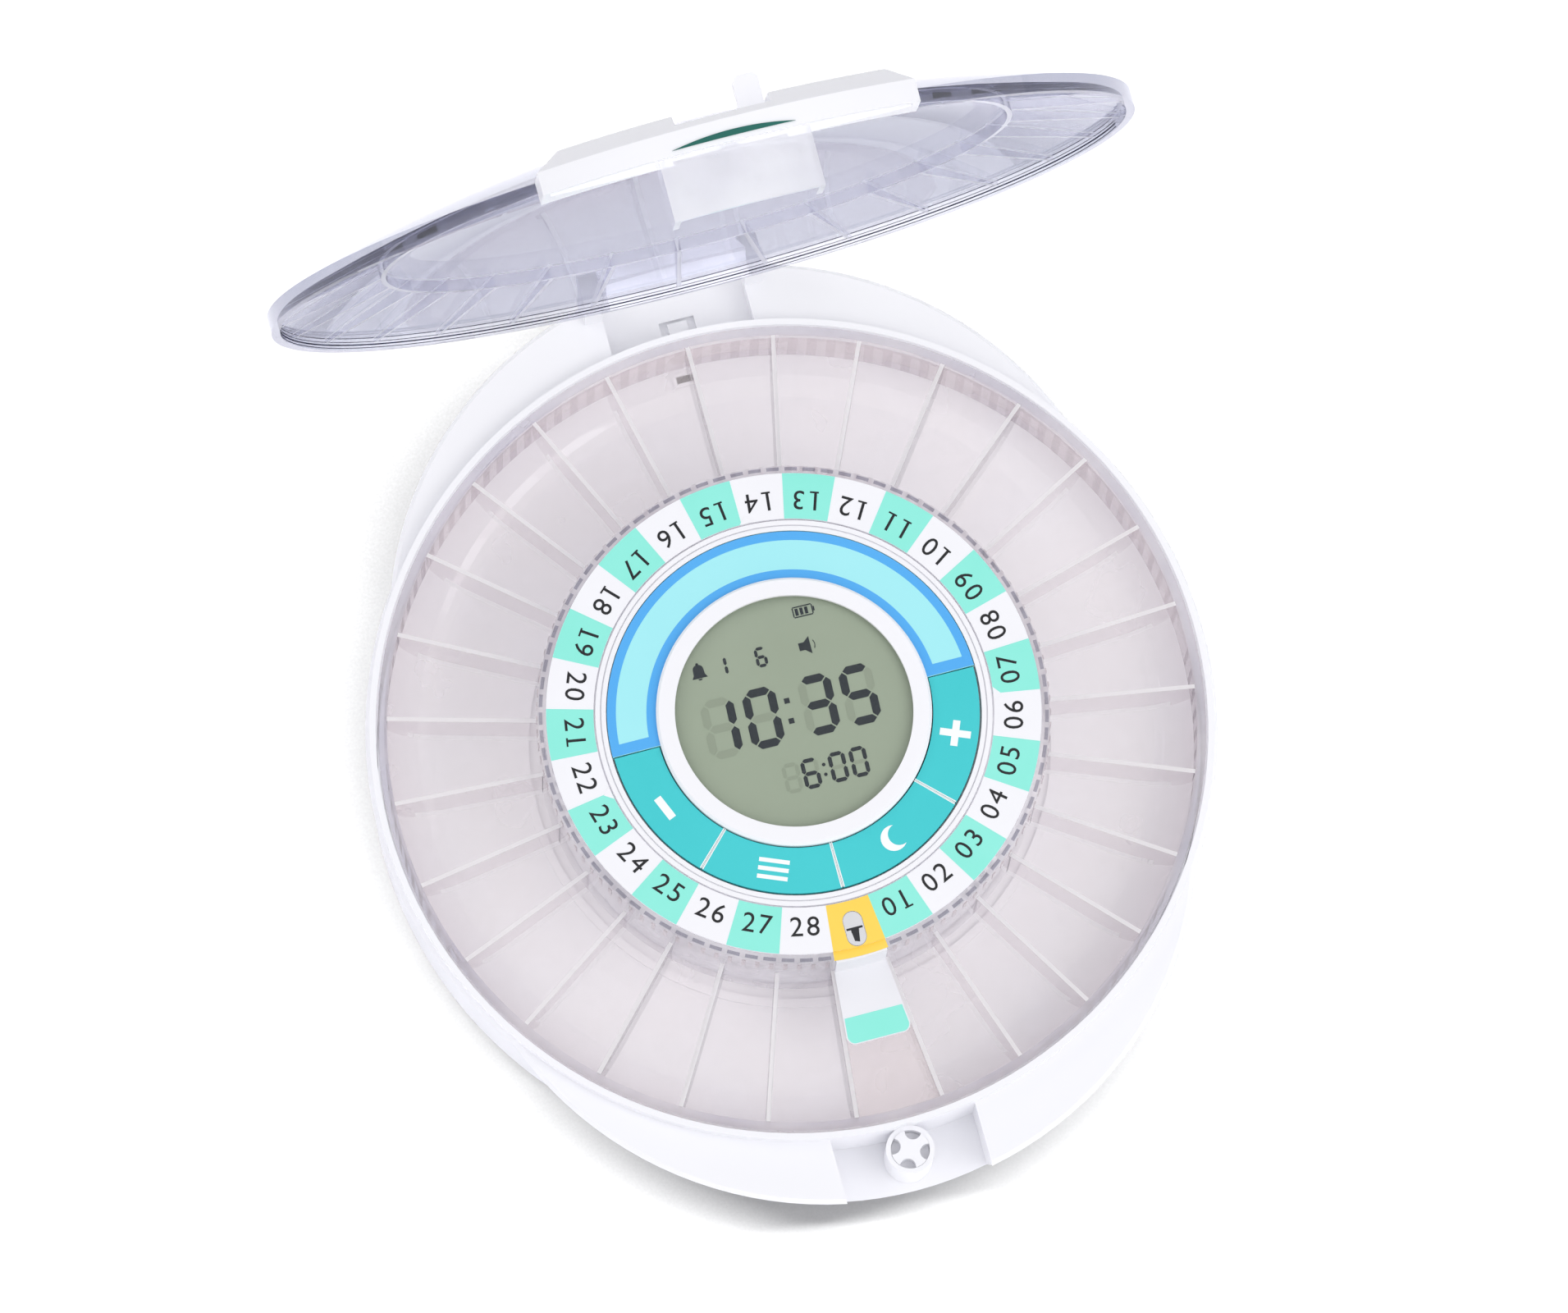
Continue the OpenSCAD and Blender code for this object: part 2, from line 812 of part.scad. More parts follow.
module speaker_place() {
    translate([0, speaker_in - case_r, 0])
        children();
}

module speaker() {
    color([0.2, 0.2, 0.22])
        speaker_place()
            translate([0, 0, floor_z]) {
                ring(speaker_r, speaker_r - speaker_rim, speaker_h);
                translate([0, 0, speaker_rim / 2])
                    cylinder(h = speaker_cone_t, r = speaker_r - speaker_rim + seat);
                translate([0, 0, speaker_rim / 2 + speaker_cone_t - seat])
                    cylinder(h = speaker_h - 0.6, r = magnet_r);
            }
}

module gear_motor() {
    color(grey)
        translate([0, pinion_y, chassis_z])
            difference() {
                union() {
                    translate([-gearbox_l / 2, -gearbox_w / 2 + 1, -gearbox_h])
                        cube([gearbox_l, gearbox_w, gearbox_h]);
                    for (side = [-1, 1])
                        translate([side * (gearbox_l / 2 + 2.4), 1, -2.4])
                            cylinder(h = 2.4, r = 3.4);
                }
                translate([0, 0, -8])
                    cylinder(h = 9, r = pinion_shaft_r + 0.06);
                for (side = [-1, 1])
                    translate([side * (gearbox_l / 2 + 3), 1, -3])
                        cylinder(h = 4, r = 1.2);
            }
}

module motor_can() {
    color(steel)
        translate([gearbox_l / 2 + 6.2, pinion_y + 1, chassis_z - 0.6 - motor_r]) {
            rotate([0, 90, 0])
                cylinder(h = motor_l - 6, r = motor_r);
            translate([-6.2 + seat, 0, 0])
                rotate([0, 90, 0])
                    cylinder(h = 6.3, r = 2.6);
        }
}

module sensor_place() {
    translate([sensor_x, well_r - sensor_in, 0])
        children();
}

module position_sensor() {
    color([0.15, 0.15, 0.17])
        sensor_place()
            translate([-sensor_w / 2, -sensor_l / 2, chassis_top_z + sensor_rise - sensor_h])
                difference() {
                    cube([sensor_w, sensor_l, sensor_h]);
                    translate([sensor_w / 4, sensor_l / 4, sensor_h - sensor_rise])
                        cube([sensor_w / 2, sensor_l / 2, sensor_h]);
                }
}

module display_holder() {
    color(white)
        translate([0, 0, key_board_z + board_t])
            cylinder(h = display_z - key_board_z - board_t, r = display_seat_r - 0.2);
}

module display_panel() {
    color([0.61, 0.65, 0.55])
        translate([0, 0, display_z])
            cylinder(h = display_t, r = display_seat_r - 0.2);
}

module display_window() {
    color(clear)
        translate([0, 0, window_z])
            cylinder(h = window_t, r = display_seat_r - 0.1);
}

module display_bezel() {
    color(white)
        translate([0, 0, key_board_z + board_t])
            difference() {
                union() {
                    cylinder(h = bezel_top_z - key_board_z - board_t - 0.6, r = bezel_r);
                    translate([0, 0, bezel_top_z - key_board_z - board_t - 0.6])
                        cylinder(h = 0.6, r1 = bezel_r, r2 = bezel_r - 0.6);
                }
                translate([0, 0, -past])
                    cylinder(h = past + bezel_top_z - bezel_lip_t - key_board_z - board_t, r = display_seat_r);
                translate([0, 0, -past])
                    cylinder(h = bezel_top_z + past, r = display_r);
            }
}

module arc_window() {
    color(mint)
        translate([0, 0, key_z])
            ring_sector(key_out_r - seat, bezel_r + seat, key_t, key_gap_angle / 2, 180 - key_gap_angle / 2);
}

module key_cap(from) {
    translate([0, 0, key_z])
        ring_sector(key_edge_r, key_in_r, key_t, from + key_gap_angle / 2, from + key_angle - key_gap_angle / 2);
    rotate([0, 0, from + key_angle / 2])
        translate([key_mid_r, 0, key_z - plunger_h])
            cylinder(h = plunger_h + seat, r = plunger_r);
}

module plus_key() {
    color(teal)
        key_cap(-key_angle);
}

module sleep_key() {
    color(teal)
        key_cap(-2 * key_angle);
}

module menu_key() {
    color(teal)
        key_cap(-3 * key_angle);
}

module minus_key() {
    color(teal)
        key_cap(-4 * key_angle);
}

module lock_sleeve() {
    color(white)
        translate([0, -lock_y, front_floor_z])
            ring(lock_sleeve_r, lock_plug_r + plug_gap, lock_face_z - front_floor_z);
}

module lock_plug() {
    color(white)
        translate([0, -lock_y, 0])
            difference() {
                union() {
                    translate([0, 0, front_floor_z + run])
                        cylinder(h = lock_face_z - front_floor_z - run + plug_rise, r = lock_plug_r);
                    translate([0, 0, cam_z])
                        cylinder(h = front_floor_z + run - cam_z + seat, r = plug_stem_r);
                }
                // Four notches in the rim leave a cross that a key grips
                translate([0, 0, lock_face_z + plug_rise - socket_h])
                    around(lobe_count, lobe_offset, lobe_turn)
                        cylinder(h = socket_h + past, r = lobe_r);
            }
}

module lock_cam() {
    color(steel)
        translate([0, -lock_y, cam_z - cam_t]) {
            cylinder(h = cam_t, r = 3);
            translate([0, -1.4, 0])
                cube([cam_reach, 2.8, cam_t]);
        }
}

module hinge_pin() {
    color(white)
        translate([-pin_l / 2, hinge_y, hinge_z])
            rotate([0, 90, 0])
                cylinder(h = pin_l, r = pin_r);
}

// Half profile of the scooped floor
module floor_profile() {
    difference() {
        translate([inner_wall_r, tray_under_z])
            square([cell_out_r - inner_wall_r, tray_wall + scoop_r]);
        translate([inner_wall_r - past, tray_floor_z])
            square([cell_out_r - scoop_r - inner_wall_r + past, scoop_r + past]);
        translate([cell_out_r - scoop_r, tray_floor_z + scoop_r])
            circle(r = scoop_r);
    }
}

module tray_floor() {
    color(clear)
        rotate_extrude()
            floor_profile();
}

module tray_outer_wall() {
    color(clear)
        translate([0, 0, tray_under_z]) {
            ring(tray_r, cell_out_r, rim_z - tray_under_z);
            translate([0, 0, rim_z - tray_under_z - lip_h])
                ring(cell_out_r + seat, cell_out_r - lip_w, lip_h);
        }
}

module tray_inner_wall() {
    color(clear) {
        translate([0, 0, tray_floor_z])
            ring(cell_in_r, inner_wall_r, flange_z - tray_floor_z);
        translate([0, 0, flange_z - tray_wall])
            ring(inner_wall_r + seat, card_in_r, tray_wall);
    }
}

// One divider, standing on the scooped floor
module divider() {
    inner = cell_in_r + seat;
    outer = cell_out_r - lip_w - seat;
    rotate([90, 0, 0])
        translate([0, 0, -divider_t / 2])
            linear_extrude(divider_t)
                intersection() {
                    translate([inner, tray_floor_z + seat])
                        square([outer - inner, cell_depth - seat]);
                    union() {
                        translate([inner - past, tray_floor_z])
                            square([cell_out_r - scoop_r - inner + past, cell_depth]);
                        translate([cell_out_r - scoop_r, tray_floor_z + scoop_r])
                            circle(r = scoop_r - seat);
                        translate([inner, tray_floor_z + scoop_r])
                            square([outer - inner, cell_depth - scoop_r]);
                    }
                }
}

module tray_dividers() {
    color(clear)
        for (i = [0 : cell_count - 1])
            rotate([0, 0, start_angle + (i + 0.5) * cell_angle])
                divider();
}

module start_cover() {
    half = cell_angle / 2;
    apex = (divider_t / 2 + cell_fit) / sin(half);
    color(clear)
        translate([0, 0, rim_z - lip_h])
            rotate([0, 0, start_angle])
                intersection() {
                    ring(cell_out_r - lip_w - cell_fit, cell_in_r + cell_fit, lip_h);
                    linear_extrude(lip_h)
                        polygon([
                            [apex, 0],
                            [apex + tray_r, tray_r * tan(half)],
                            [apex + tray_r, -tray_r * tan(half)]
                        ]);
                }
}

module start_label() {
    color(mint)
        rotate([0, 0, start_angle])
            translate([0, 0, rim_z + seat]) {
                // Upright part on the inner wall
                intersection() {
                    ring(cell_in_r + label_gap + label_t, cell_in_r + label_gap, flange_z - rim_z);
                    translate([0, -label_in_half, 0])
                        cube([label_end_r, 2 * label_in_half, card_h]);
                }
                // Flat part on the start cell's cover
                linear_extrude(label_t)
                    difference() {
                        label_outline();
                        circle(r = cell_in_r + label_gap);
                    }
            }
}

// Outline of the label, wider towards the rim, with round outer corners
module label_outline() {
    corner_x = label_end_r - label_corner;
    polygon([
        [inner_wall_r, -label_in_half],
        [corner_x, -label_half],
        [corner_x, label_half],
        [inner_wall_r, label_in_half]
    ]);
    translate([corner_x - seat, -label_half + label_corner])
        square([label_corner + seat, 2 * (label_half - label_corner)]);
    for (side = [-1, 1])
        translate([corner_x, side * (label_half - label_corner)])
            circle(r = label_corner);
}

// Gear teeth of the ring, pointing inwards
module ring_gear_outline() {
    root_r = ring_pitch_r + tooth_in;
    tip_r = ring_pitch_r - tooth_out;
    difference() {
        circle(r = inner_wall_r - seat);
        circle(r = root_r);
    }
    for (i = [0 : ring_teeth - 1])
        rotate([0, 0, 90 + (i + 0.5) * 360 / ring_teeth])
            polygon([
                [root_r + 0.2, -tooth_root_half],
                [root_r + 0.2, tooth_root_half],
                [tip_r, tooth_tip_half],
                [tip_r, -tooth_tip_half]
            ]);
}

module tray_gear() {
    color(white)
        translate([0, 0, gear_z])
            linear_extrude(gear_w)
                ring_gear_outline();
}

module pinion_outline() {
    root_r = pinion_pitch_r - tooth_in;
    tip_r = pinion_pitch_r + tooth_out;
    circle(r = root_r);
    for (i = [0 : pinion_teeth - 1])
        rotate([0, 0, 90 + i * 360 / pinion_teeth])
            polygon([
                [root_r - 0.4, -tooth_root_half],
                [root_r - 0.4, tooth_root_half],
                [tip_r, tooth_tip_half],
                [tip_r, -tooth_tip_half]
            ]);
}

module drive_pinion() {
    color(white)
        translate([0, pinion_y, 0]) {
            translate([0, 0, gear_z])
                linear_extrude(gear_w)
                    pinion_outline();
            translate([0, 0, chassis_z - 7])
                cylinder(h = gear_z - chassis_z + 7 + seat, r = pinion_shaft_r);
        }
}

module number_card() {
    color(mint)
        translate([0, 0, flange_z + seat])
            difference() {
                ring(card_out_r, card_in_r, card_t - seat);
                rotate([0, 0, start_angle])
                    translate([peg_place_r, 0, -past])
                        peg_form(peg_gap, card_t + 2 * past);
            }
}

// Oval of the start peg
module peg_form(gap, h) {
    for (side = [-1, 1])
        translate([side * peg_half, 0, 0])
            cylinder(h = h, r = peg_r + gap);
    translate([-peg_half, -peg_r - gap, 0])
        cube([2 * peg_half, 2 * (peg_r + gap), h]);
}

module start_peg() {
    color(steel)
        rotate([0, 0, start_angle])
            translate([peg_place_r, 0, flange_z + seat])
                difference() {
                    peg_form(0, card_t);
                    translate([-peg_half / 2, -peg_half / 2, card_t / 2])
                        cube([peg_half, peg_half, past]);
                }
}

// Outer form of the dome, grown by a small amount
module dome_form(grow) {
    translate([0, 0, rim_plane_z])
        cylinder(h = lid_skirt, r = lid_r + grow);
    intersection() {
        translate([0, 0, dome_centre_z])
            sphere(r = dome_r + grow, $fn = 256);
        translate([0, 0, skirt_top_z - past])
            cylinder(h = dome_rise + 2 * past, r = lid_r + grow);
    }
}

module lid_dome() {
    color(clear)
        on_open_lid()
            difference() {
                dome_form(0);
                intersection() {
                    translate([0, 0, dome_centre_z])
                        sphere(r = dome_in_r, $fn = 256);
                    translate([0, 0, rim_plane_z - past])
                        cylinder(h = dome_rise + lid_skirt + 2 * past, r = lid_in_r);
                }
                // Way out of the dome above the front cell
                translate([mouth_x - mouth_w / 2, -mouth_front_y, rim_plane_z - past])
                    cube([mouth_w, mouth_l, dome_rise]);
                // Room for the door and its channel
                translate([channel_left_x - mouth_w, -lid_r - past, door_z - 0.2])
                    cube([door_right_x + 0.6 - channel_left_x + mouth_w, lid_r + past - door_back_y + 0.3, dome_rise]);
            }
}

// One rib, its top just under the dome
module lid_rib() {
    r_in = rib_ring_r + rib_ring_t / 2;
    r_out = lid_in_r - 0.2;
    drop = 0.05;
    rotate([90, 0, 0])
        translate([0, 0, -rib_t / 2])
            linear_extrude(rib_t)
                polygon([
                    [r_in - seat, dome_in_z(r_in) - drop - rib_h],
                    [r_out, dome_in_z(r_out) - drop - rib_h / 3],
                    [r_out, dome_in_z(r_out) - drop],
                    [r_in - seat, dome_in_z(r_in) - drop]
                ]);
}

module lid_ribs() {
    first = 2;
    color(clear)
        on_open_lid() {
            for (i = [first : cell_count - 1 - first])
                rotate([0, 0, start_angle + (i + 0.5) * cell_angle])
                    lid_rib();
            translate([0, 0, dome_in_z(rib_ring_r + rib_ring_t) - rib_h - 0.3])
                ring(rib_ring_r + rib_ring_t, rib_ring_r, rib_h);
        }
}

module lid_arm() {
    color(clear)
        on_open_lid()
            difference() {
                union() {
                    translate([-arm_w / 2, hinge_y, hinge_z])
                        rotate([0, 90, 0])
                            cylinder(h = arm_w, r = knuckle_r);
                    translate([-arm_w / 2, 0, 0])
                        rotate([90, 0, 90])
                            linear_extrude(arm_w)
                                polygon([
                                    [arm_root_y - 6, rim_plane_z + 0.6],
                                    [arm_root_y + 2, rim_plane_z + 0.6],
                                    [hinge_y + 1, hinge_z - knuckle_r],
                                    [hinge_y, hinge_z + knuckle_r],
                                    [arm_root_y - 6, rim_plane_z + 0.6 + 2 * arm_t]
                                ]);
                }
                dome_form(seat);
                translate([-arm_w / 2 - past, hinge_y, hinge_z])
                    rotate([0, 90, 0])
                        cylinder(h = arm_w + 2 * past, r = pin_r + pin_gap);
            }
}

// Front view of the trim
module trim_front_view() {
    low = rim_plane_z - trim_foot_h;
    shoulder = rim_plane_z + trim_h;
    polygon([
        [-trim_w / 2, low],
        [trim_w / 2, low],
        [trim_w / 2, rim_plane_z + trim_band_h],
        [trim_top_w / 2, shoulder],
        [tab_right_x + 0.4, shoulder],
        [tab_right_x + 0.4, door_top_z],
        [channel_left_x, door_top_z],
        [channel_left_x, shoulder],
        [-trim_top_w / 2, shoulder],
        [-trim_w / 2, rim_plane_z + trim_band_h]
    ]);
}

module front_trim() {
    low = rim_plane_z - trim_foot_h;
    band_top = rim_plane_z + trim_band_h;
    color(white)
        on_open_lid()
            difference() {
                intersection() {
                    rotate([90, 0, 0])
                        translate([0, 0, trim_back_y])
                            linear_extrude(trim_reach)
                                trim_front_view();
                    translate([0, -bulge_y, 0]) {
                        translate([0, 0, low])
                            cylinder(h = band_top - low, r = trim_r);
                        translate([0, 0, band_top])
                            cylinder(h = 6, r1 = trim_r, r2 = trim_r - 6);
                    }
                }
                difference() {
                    dome_form(seat);
                    // The trim fills the dome's cut-out round the door
                    translate([channel_left_x - mouth_w + 0.1, -lid_r - past, door_z - 0.1])
                        cube([door_right_x + 0.4 - channel_left_x + mouth_w, lid_r + past - door_back_y + 0.1, dome_rise]);
                }
                // Slot that the door slides in
                translate([door_left_x - door_travel - 0.3, -door_front_y - run, door_z - run])
                    cube([door_right_x + 0.4 - door_left_x + door_travel + 0.3,
                          door_front_y - door_back_y + 2 * run, door_t + 2 * run]);
                // Mouth
                translate([mouth_x - mouth_w / 2, -mouth_front_y, low - past])
                    cube([mouth_w, mouth_l, trim_h + 3 * past]);
                // The trim's foot stays outside the collar
                translate([0, 0, low - past])
                    cylinder(h = past + trim_foot_h, r = case_r + run);
                // The trim is hollow behind its front band
                intersection() {
                    translate([0, -bulge_y, low - past])
                        cylinder(h = past + trim_foot_h + trim_band_h - trim_wall, r = trim_r - trim_wall);
                    translate([-trim_w / 2 + trim_wall, -bulge_y - bulge_r, low - 2 * past])
                        cube([trim_w - 2 * trim_wall, bulge_y + bulge_r - lid_r, trim_h]);
                }
            }
}

module teal_strip() {
    rise = strip_h;
    half = strip_w / 2;
    arc_r = (pow(half, 2) + pow(rise, 2)) / (2 * rise);
    color([0, 0.45, 0.4])
        on_open_lid()
            intersection() {
                translate([0, -bulge_y, rim_plane_z - past])
                    ring(trim_r + 0.35, trim_r + seat, 2 * strip_h + past);
                rotate([90, 0, 0])
                    translate([0, 0, trim_back_y])
                        linear_extrude(trim_reach)
                            intersection() {
                                translate([0, rim_plane_z + rise - arc_r])
                                    circle(r = arc_r, $fn = 256);
                                translate([-half - past, rim_plane_z])
                                    square([2 * half + 2 * past, 2 * rise]);
                            }
            }
}

module chute_box() {
    top = rim_plane_z - trim_foot_h + 2.4;
    low = rim_plane_z - chute_h;
    color(clear)
        on_open_lid()
            difference() {
                intersection() {
                    translate([-chute_w / 2, -bulge_y - bulge_r, low])
                        cube([chute_w, bulge_y + bulge_r - lid_r - 0.6, top - low]);
                    translate([0, -bulge_y, low])
                        cylinder(h = top - low, r = chute_face_r);
                }
                translate([-chute_w / 2 + chute_wall, -bulge_y - bulge_r, low - past])
                    intersection() {
                        cube([chute_w - 2 * chute_wall, bulge_y + bulge_r - lid_r + past, top - low + past - chute_roof]);
                        translate([chute_w / 2 - chute_wall, bulge_r, 0])
                            cylinder(h = top - low + past, r = chute_face_r - chute_wall);
                    }
            }
}

module dispensing_door() {
    color(white)
        on_open_lid()
            union() {
                translate([door_left_x, -door_front_y, door_z])
                    cube([door_right_x - door_left_x, door_front_y - door_back_y, door_t]);
                translate([tab_right_x - tab_w, -tab_y - tab_l, door_top_z - seat]) {
                    cube([tab_w, tab_l, tab_h - tab_corner + seat]);
                    translate([tab_corner, 0, 0])
                        cube([tab_w - 2 * tab_corner, tab_l, tab_h + seat]);
                    for (place = [tab_corner, tab_w - tab_corner])
                        translate([place, tab_l, tab_h + seat - tab_corner])
                            rotate([90, 0, 0])
                                cylinder(h = tab_l, r = tab_corner);
                }
            }
}

lower_case();
upper_case();
chassis_plate();
panel_tower();
rubber_feet();
case_screws();
battery_cover();
battery_cover_screw();
battery_cells();
battery_contacts();
main_board();
key_board();
key_switches();
speaker();
gear_motor();
motor_can();
position_sensor();
display_holder();
display_panel();
display_window();
display_bezel();
arc_window();
lock_sleeve();
hinge_pin();
tray_floor();
tray_outer_wall();
tray_inner_wall();
tray_dividers();
start_cover();
start_label();
tray_gear();
number_card();
start_peg();
drive_pinion();
plus_key();
minus_key();
menu_key();
sleep_key();
lid_dome();
lid_ribs();
lid_arm();
front_trim();
teal_strip();
chute_box();
dispensing_door();
lock_plug();
lock_cam();
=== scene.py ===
import math

import bmesh
import bpy
from mathutils import Matrix, Vector


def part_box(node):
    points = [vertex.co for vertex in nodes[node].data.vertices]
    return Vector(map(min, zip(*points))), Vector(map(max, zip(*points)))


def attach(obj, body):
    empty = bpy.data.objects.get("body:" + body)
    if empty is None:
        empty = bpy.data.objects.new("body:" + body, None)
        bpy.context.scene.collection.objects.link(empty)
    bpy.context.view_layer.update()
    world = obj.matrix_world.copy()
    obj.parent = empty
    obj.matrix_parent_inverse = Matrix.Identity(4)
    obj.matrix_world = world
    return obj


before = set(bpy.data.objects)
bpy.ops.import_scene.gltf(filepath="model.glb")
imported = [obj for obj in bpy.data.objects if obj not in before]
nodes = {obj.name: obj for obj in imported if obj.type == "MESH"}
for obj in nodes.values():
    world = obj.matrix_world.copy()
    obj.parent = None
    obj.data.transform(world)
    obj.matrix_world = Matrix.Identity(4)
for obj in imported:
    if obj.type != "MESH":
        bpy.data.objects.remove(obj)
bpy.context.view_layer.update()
mm = 0.001


# Colours: sRGB hex to linear

def toLinear(hexText):
    values = []
    for k in (1, 3, 5):
        part = int(hexText[k:k + 2], 16) / 255
        values.append(part / 12.92 if part <= 0.04045 else ((part + 0.055) / 1.055) ** 2.4)
    return (*values, 1.0)


# Shader helpers

def newMaterial(name):
    made = bpy.data.materials.new(name)
    made.use_nodes = True
    made.node_tree.nodes.clear()
    return made


def addNode(tree, kind, settings=None, links=None):
    node = tree.nodes.new(kind)
    for key, value in (settings or {}).items():
        if isinstance(key, int) or key in node.inputs:
            node.inputs[key].default_value = value
        else:
            setattr(node, key, value)
    for key, source in (links or {}).items():
        tree.links.new(source, node.inputs[key])
    return node


def maths(tree, operation, first, second=None, third=None):
    node = addNode(tree, "ShaderNodeMath", {"operation": operation})
    for index, value in enumerate((first, second, third)):
        if value is None:
            continue
        if isinstance(value, (int, float)):
            node.inputs[index].default_value = value
        else:
            tree.links.new(value, node.inputs[index])
    return node.outputs[0]


def ramp(tree, source, stops):
    node = addNode(tree, "ShaderNodeValToRGB", links={0: source})
    line = node.color_ramp
    while len(line.elements) < len(stops):
        line.elements.new(0.5)
    for element, (place, colour) in zip(line.elements, stops):
        element.position = place
        element.color = colour
    return node.outputs[0]


# Texture scale of a pattern that repeats over this many millimetres
def perMm(size):
    return 1 / (size * mm)


def noise(tree, size, detail, roughness=0.5, stretch=None):
    place = addNode(tree, "ShaderNodeTexCoord").outputs["Object"]
    if stretch:
        place = addNode(tree, "ShaderNodeMapping", {"Scale": stretch}, {"Vector": place}).outputs[0]
    settings = {"Scale": perMm(size), "Detail": detail, "Roughness": roughness}
    return addNode(tree, "ShaderNodeTexNoise", settings, {"Vector": place}).outputs["Fac"]


def mixColour(tree, amount, low, high):
    node = addNode(tree, "ShaderNodeMix", {"data_type": "RGBA"})
    colours = [socket for socket in node.inputs if socket.type == "RGBA"]
    for socket, value in ((node.inputs[0], amount), (colours[0], low), (colours[1], high)):
        if isinstance(value, (tuple, float, int)):
            socket.default_value = value
        else:
            tree.links.new(value, socket)
    return [socket for socket in node.outputs if socket.type == "RGBA"][0]


def bump(tree, height, distance, strength):
    settings = {"Strength": strength, "Distance": distance * mm}
    return addNode(tree, "ShaderNodeBump", settings, {"Height": height}).outputs[0]


def mixShader(tree, amount, first, second):
    if isinstance(amount, float):
        return addNode(tree, "ShaderNodeMixShader", {0: amount}, {1: first, 2: second}).outputs[0]
    return addNode(tree, "ShaderNodeMixShader", links={0: amount, 1: first, 2: second}).outputs[0]


def output(tree, shader):
    addNode(tree, "ShaderNodeOutputMaterial", links={"Surface": shader})


# Solid surface: two close tones over a large cloud, fine grain in the height and in the gloss
solid = {"ior": 1.5, "cloudDetail": 3, "grainDetail": 4, "grainRough": 0.6, "grainStrength": 0.4}


def solidMaterial(name, look):
    made = newMaterial(name)
    tree = made.node_tree
    cloud = noise(tree, look["cloudSize"], solid["cloudDetail"])
    grain = noise(tree, look["grainSize"], solid["grainDetail"], solid["grainRough"], look.get("stretch"))
    colour = mixColour(tree, cloud, toLinear(look["low"]), toLinear(look["high"]))
    smoothest = look["roughness"] - look["glossVary"] / 2
    gloss = maths(tree, "MULTIPLY_ADD", grain, look["glossVary"], smoothest)
    settings = {"Metallic": look.get("metallic", 0.0), "IOR": solid["ior"]}
    if look.get("depth"):
        settings["Subsurface Weight"] = look["depth"]
        settings["Subsurface Radius"] = (1.0, 1.0, 1.0)
        settings["Subsurface Scale"] = look["depthScale"] * mm
    skin = bump(tree, grain, look["grainDepth"], solid["grainStrength"])
    shader = addNode(tree, "ShaderNodeBsdfPrincipled", settings,
                     {"Base Color": colour, "Roughness": gloss, "Normal": skin})
    output(tree, shader.outputs[0])
    return made


# Clear moulded plastic: nearly colourless face on, darker and tinted where it is seen edge on,
# partly from the longer path through the wall and partly as painted shade for the darker room it
# bends and mirrors there, with a gloss that grows at low angles and a faint haze from moulding
clear = {"waveStrength": 0.5, "glossFaceOn": 0.04, "glossPower": 5.0, "edgeFacing": 0.8, "through": 0.5,
         "waveDetail": 2, "cloudDetail": 3}


def clearMaterial(name, look):
    made = newMaterial(name)
    tree = made.node_tree
    wave = noise(tree, look["waveSize"], clear["waveDetail"])
    normal = bump(tree, wave, look["waveDepth"], clear["waveStrength"])
    weight = addNode(tree, "ShaderNodeLayerWeight", {"Blend": look["blend"]}, {"Normal": normal})
    facing = weight.outputs["Facing"]
    # Edge-on tint: partly the plastic's own colour, partly painted shade
    tint = ramp(tree, facing, [(0.0, toLinear(look["face"])), (look["turn"], toLinear(look["middle"])),
                               (1.0, toLinear(look["edge"]))])
    glossSettings = {"Color": toLinear(look["gloss"]), "Roughness": look["roughness"]}
    gloss = addNode(tree, "ShaderNodeBsdfGlossy", glossSettings, {"Normal": normal}).outputs[0]
    hazeSettings = {"Color": toLinear(look["haze"])}
    haze = addNode(tree, "ShaderNodeBsdfDiffuse", hazeSettings, {"Normal": normal}).outputs[0]
    glow = addNode(tree, "ShaderNodeBsdfTranslucent", hazeSettings, {"Normal": normal}).outputs[0]
    cloudy = mixShader(tree, clear["through"], haze, glow)
    # Gloss by angle, on the faces turned to the eye only: little face on, nearly all at the edge
    slope = maths(tree, "POWER", facing, clear["glossPower"])
    byAngle = maths(tree, "MULTIPLY_ADD", slope, 1 - clear["glossFaceOn"], clear["glossFaceOn"])
    behind = addNode(tree, "ShaderNodeNewGeometry").outputs["Backfacing"]
    front = maths(tree, "SUBTRACT", 1.0, behind)
    shine = maths(tree, "MULTIPLY", maths(tree, "MULTIPLY", byAngle, look["shine"]), front)
    # The cloud is a half on average, so twice the amount keeps the haze at its setting
    cloud = noise(tree, look["cloudSize"], clear["cloudDetail"])
    hazeAmount = maths(tree, "MULTIPLY", cloud, look["hazeAmount"] * 2)
    if look.get("edgeAxis"):
        # The free edges of thin walls scatter light: pale lines. The grey tint some take where they are
        # polished is painted shade
        side = addNode(tree, "ShaderNodeTexCoord").outputs["Normal"]
        along = addNode(tree, "ShaderNodeVectorMath", {"operation": "DOT_PRODUCT", 1: look["edgeAxis"]},
                        {0: side}).outputs["Value"]
        onEdge = maths(tree, "GREATER_THAN", along, clear["edgeFacing"])
        hazeAmount = maths(tree, "MULTIPLY_ADD", onEdge, look["edgeHaze"], hazeAmount)
        if look.get("edgeShadeTint"):
            tint = mixColour(tree, onEdge, tint, toLinear(look["edgeShadeTint"]))
    through = addNode(tree, "ShaderNodeBsdfTransparent", links={"Color": tint}).outputs[0]
    hazy = mixShader(tree, hazeAmount, through, cloudy)
    output(tree, mixShader(tree, shine, hazy, gloss))
    return made


def paint(names, made):
    for name in names:
        item = nodes[name]
        item.data.materials.clear()
        item.data.materials.append(made)


# Geometry helpers

def finishMesh(name, mesh, body, made):
    item = bpy.data.objects.new(name, mesh)
    bpy.context.scene.collection.objects.link(item)
    item.data.materials.append(made)
    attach(item, body)
    return item


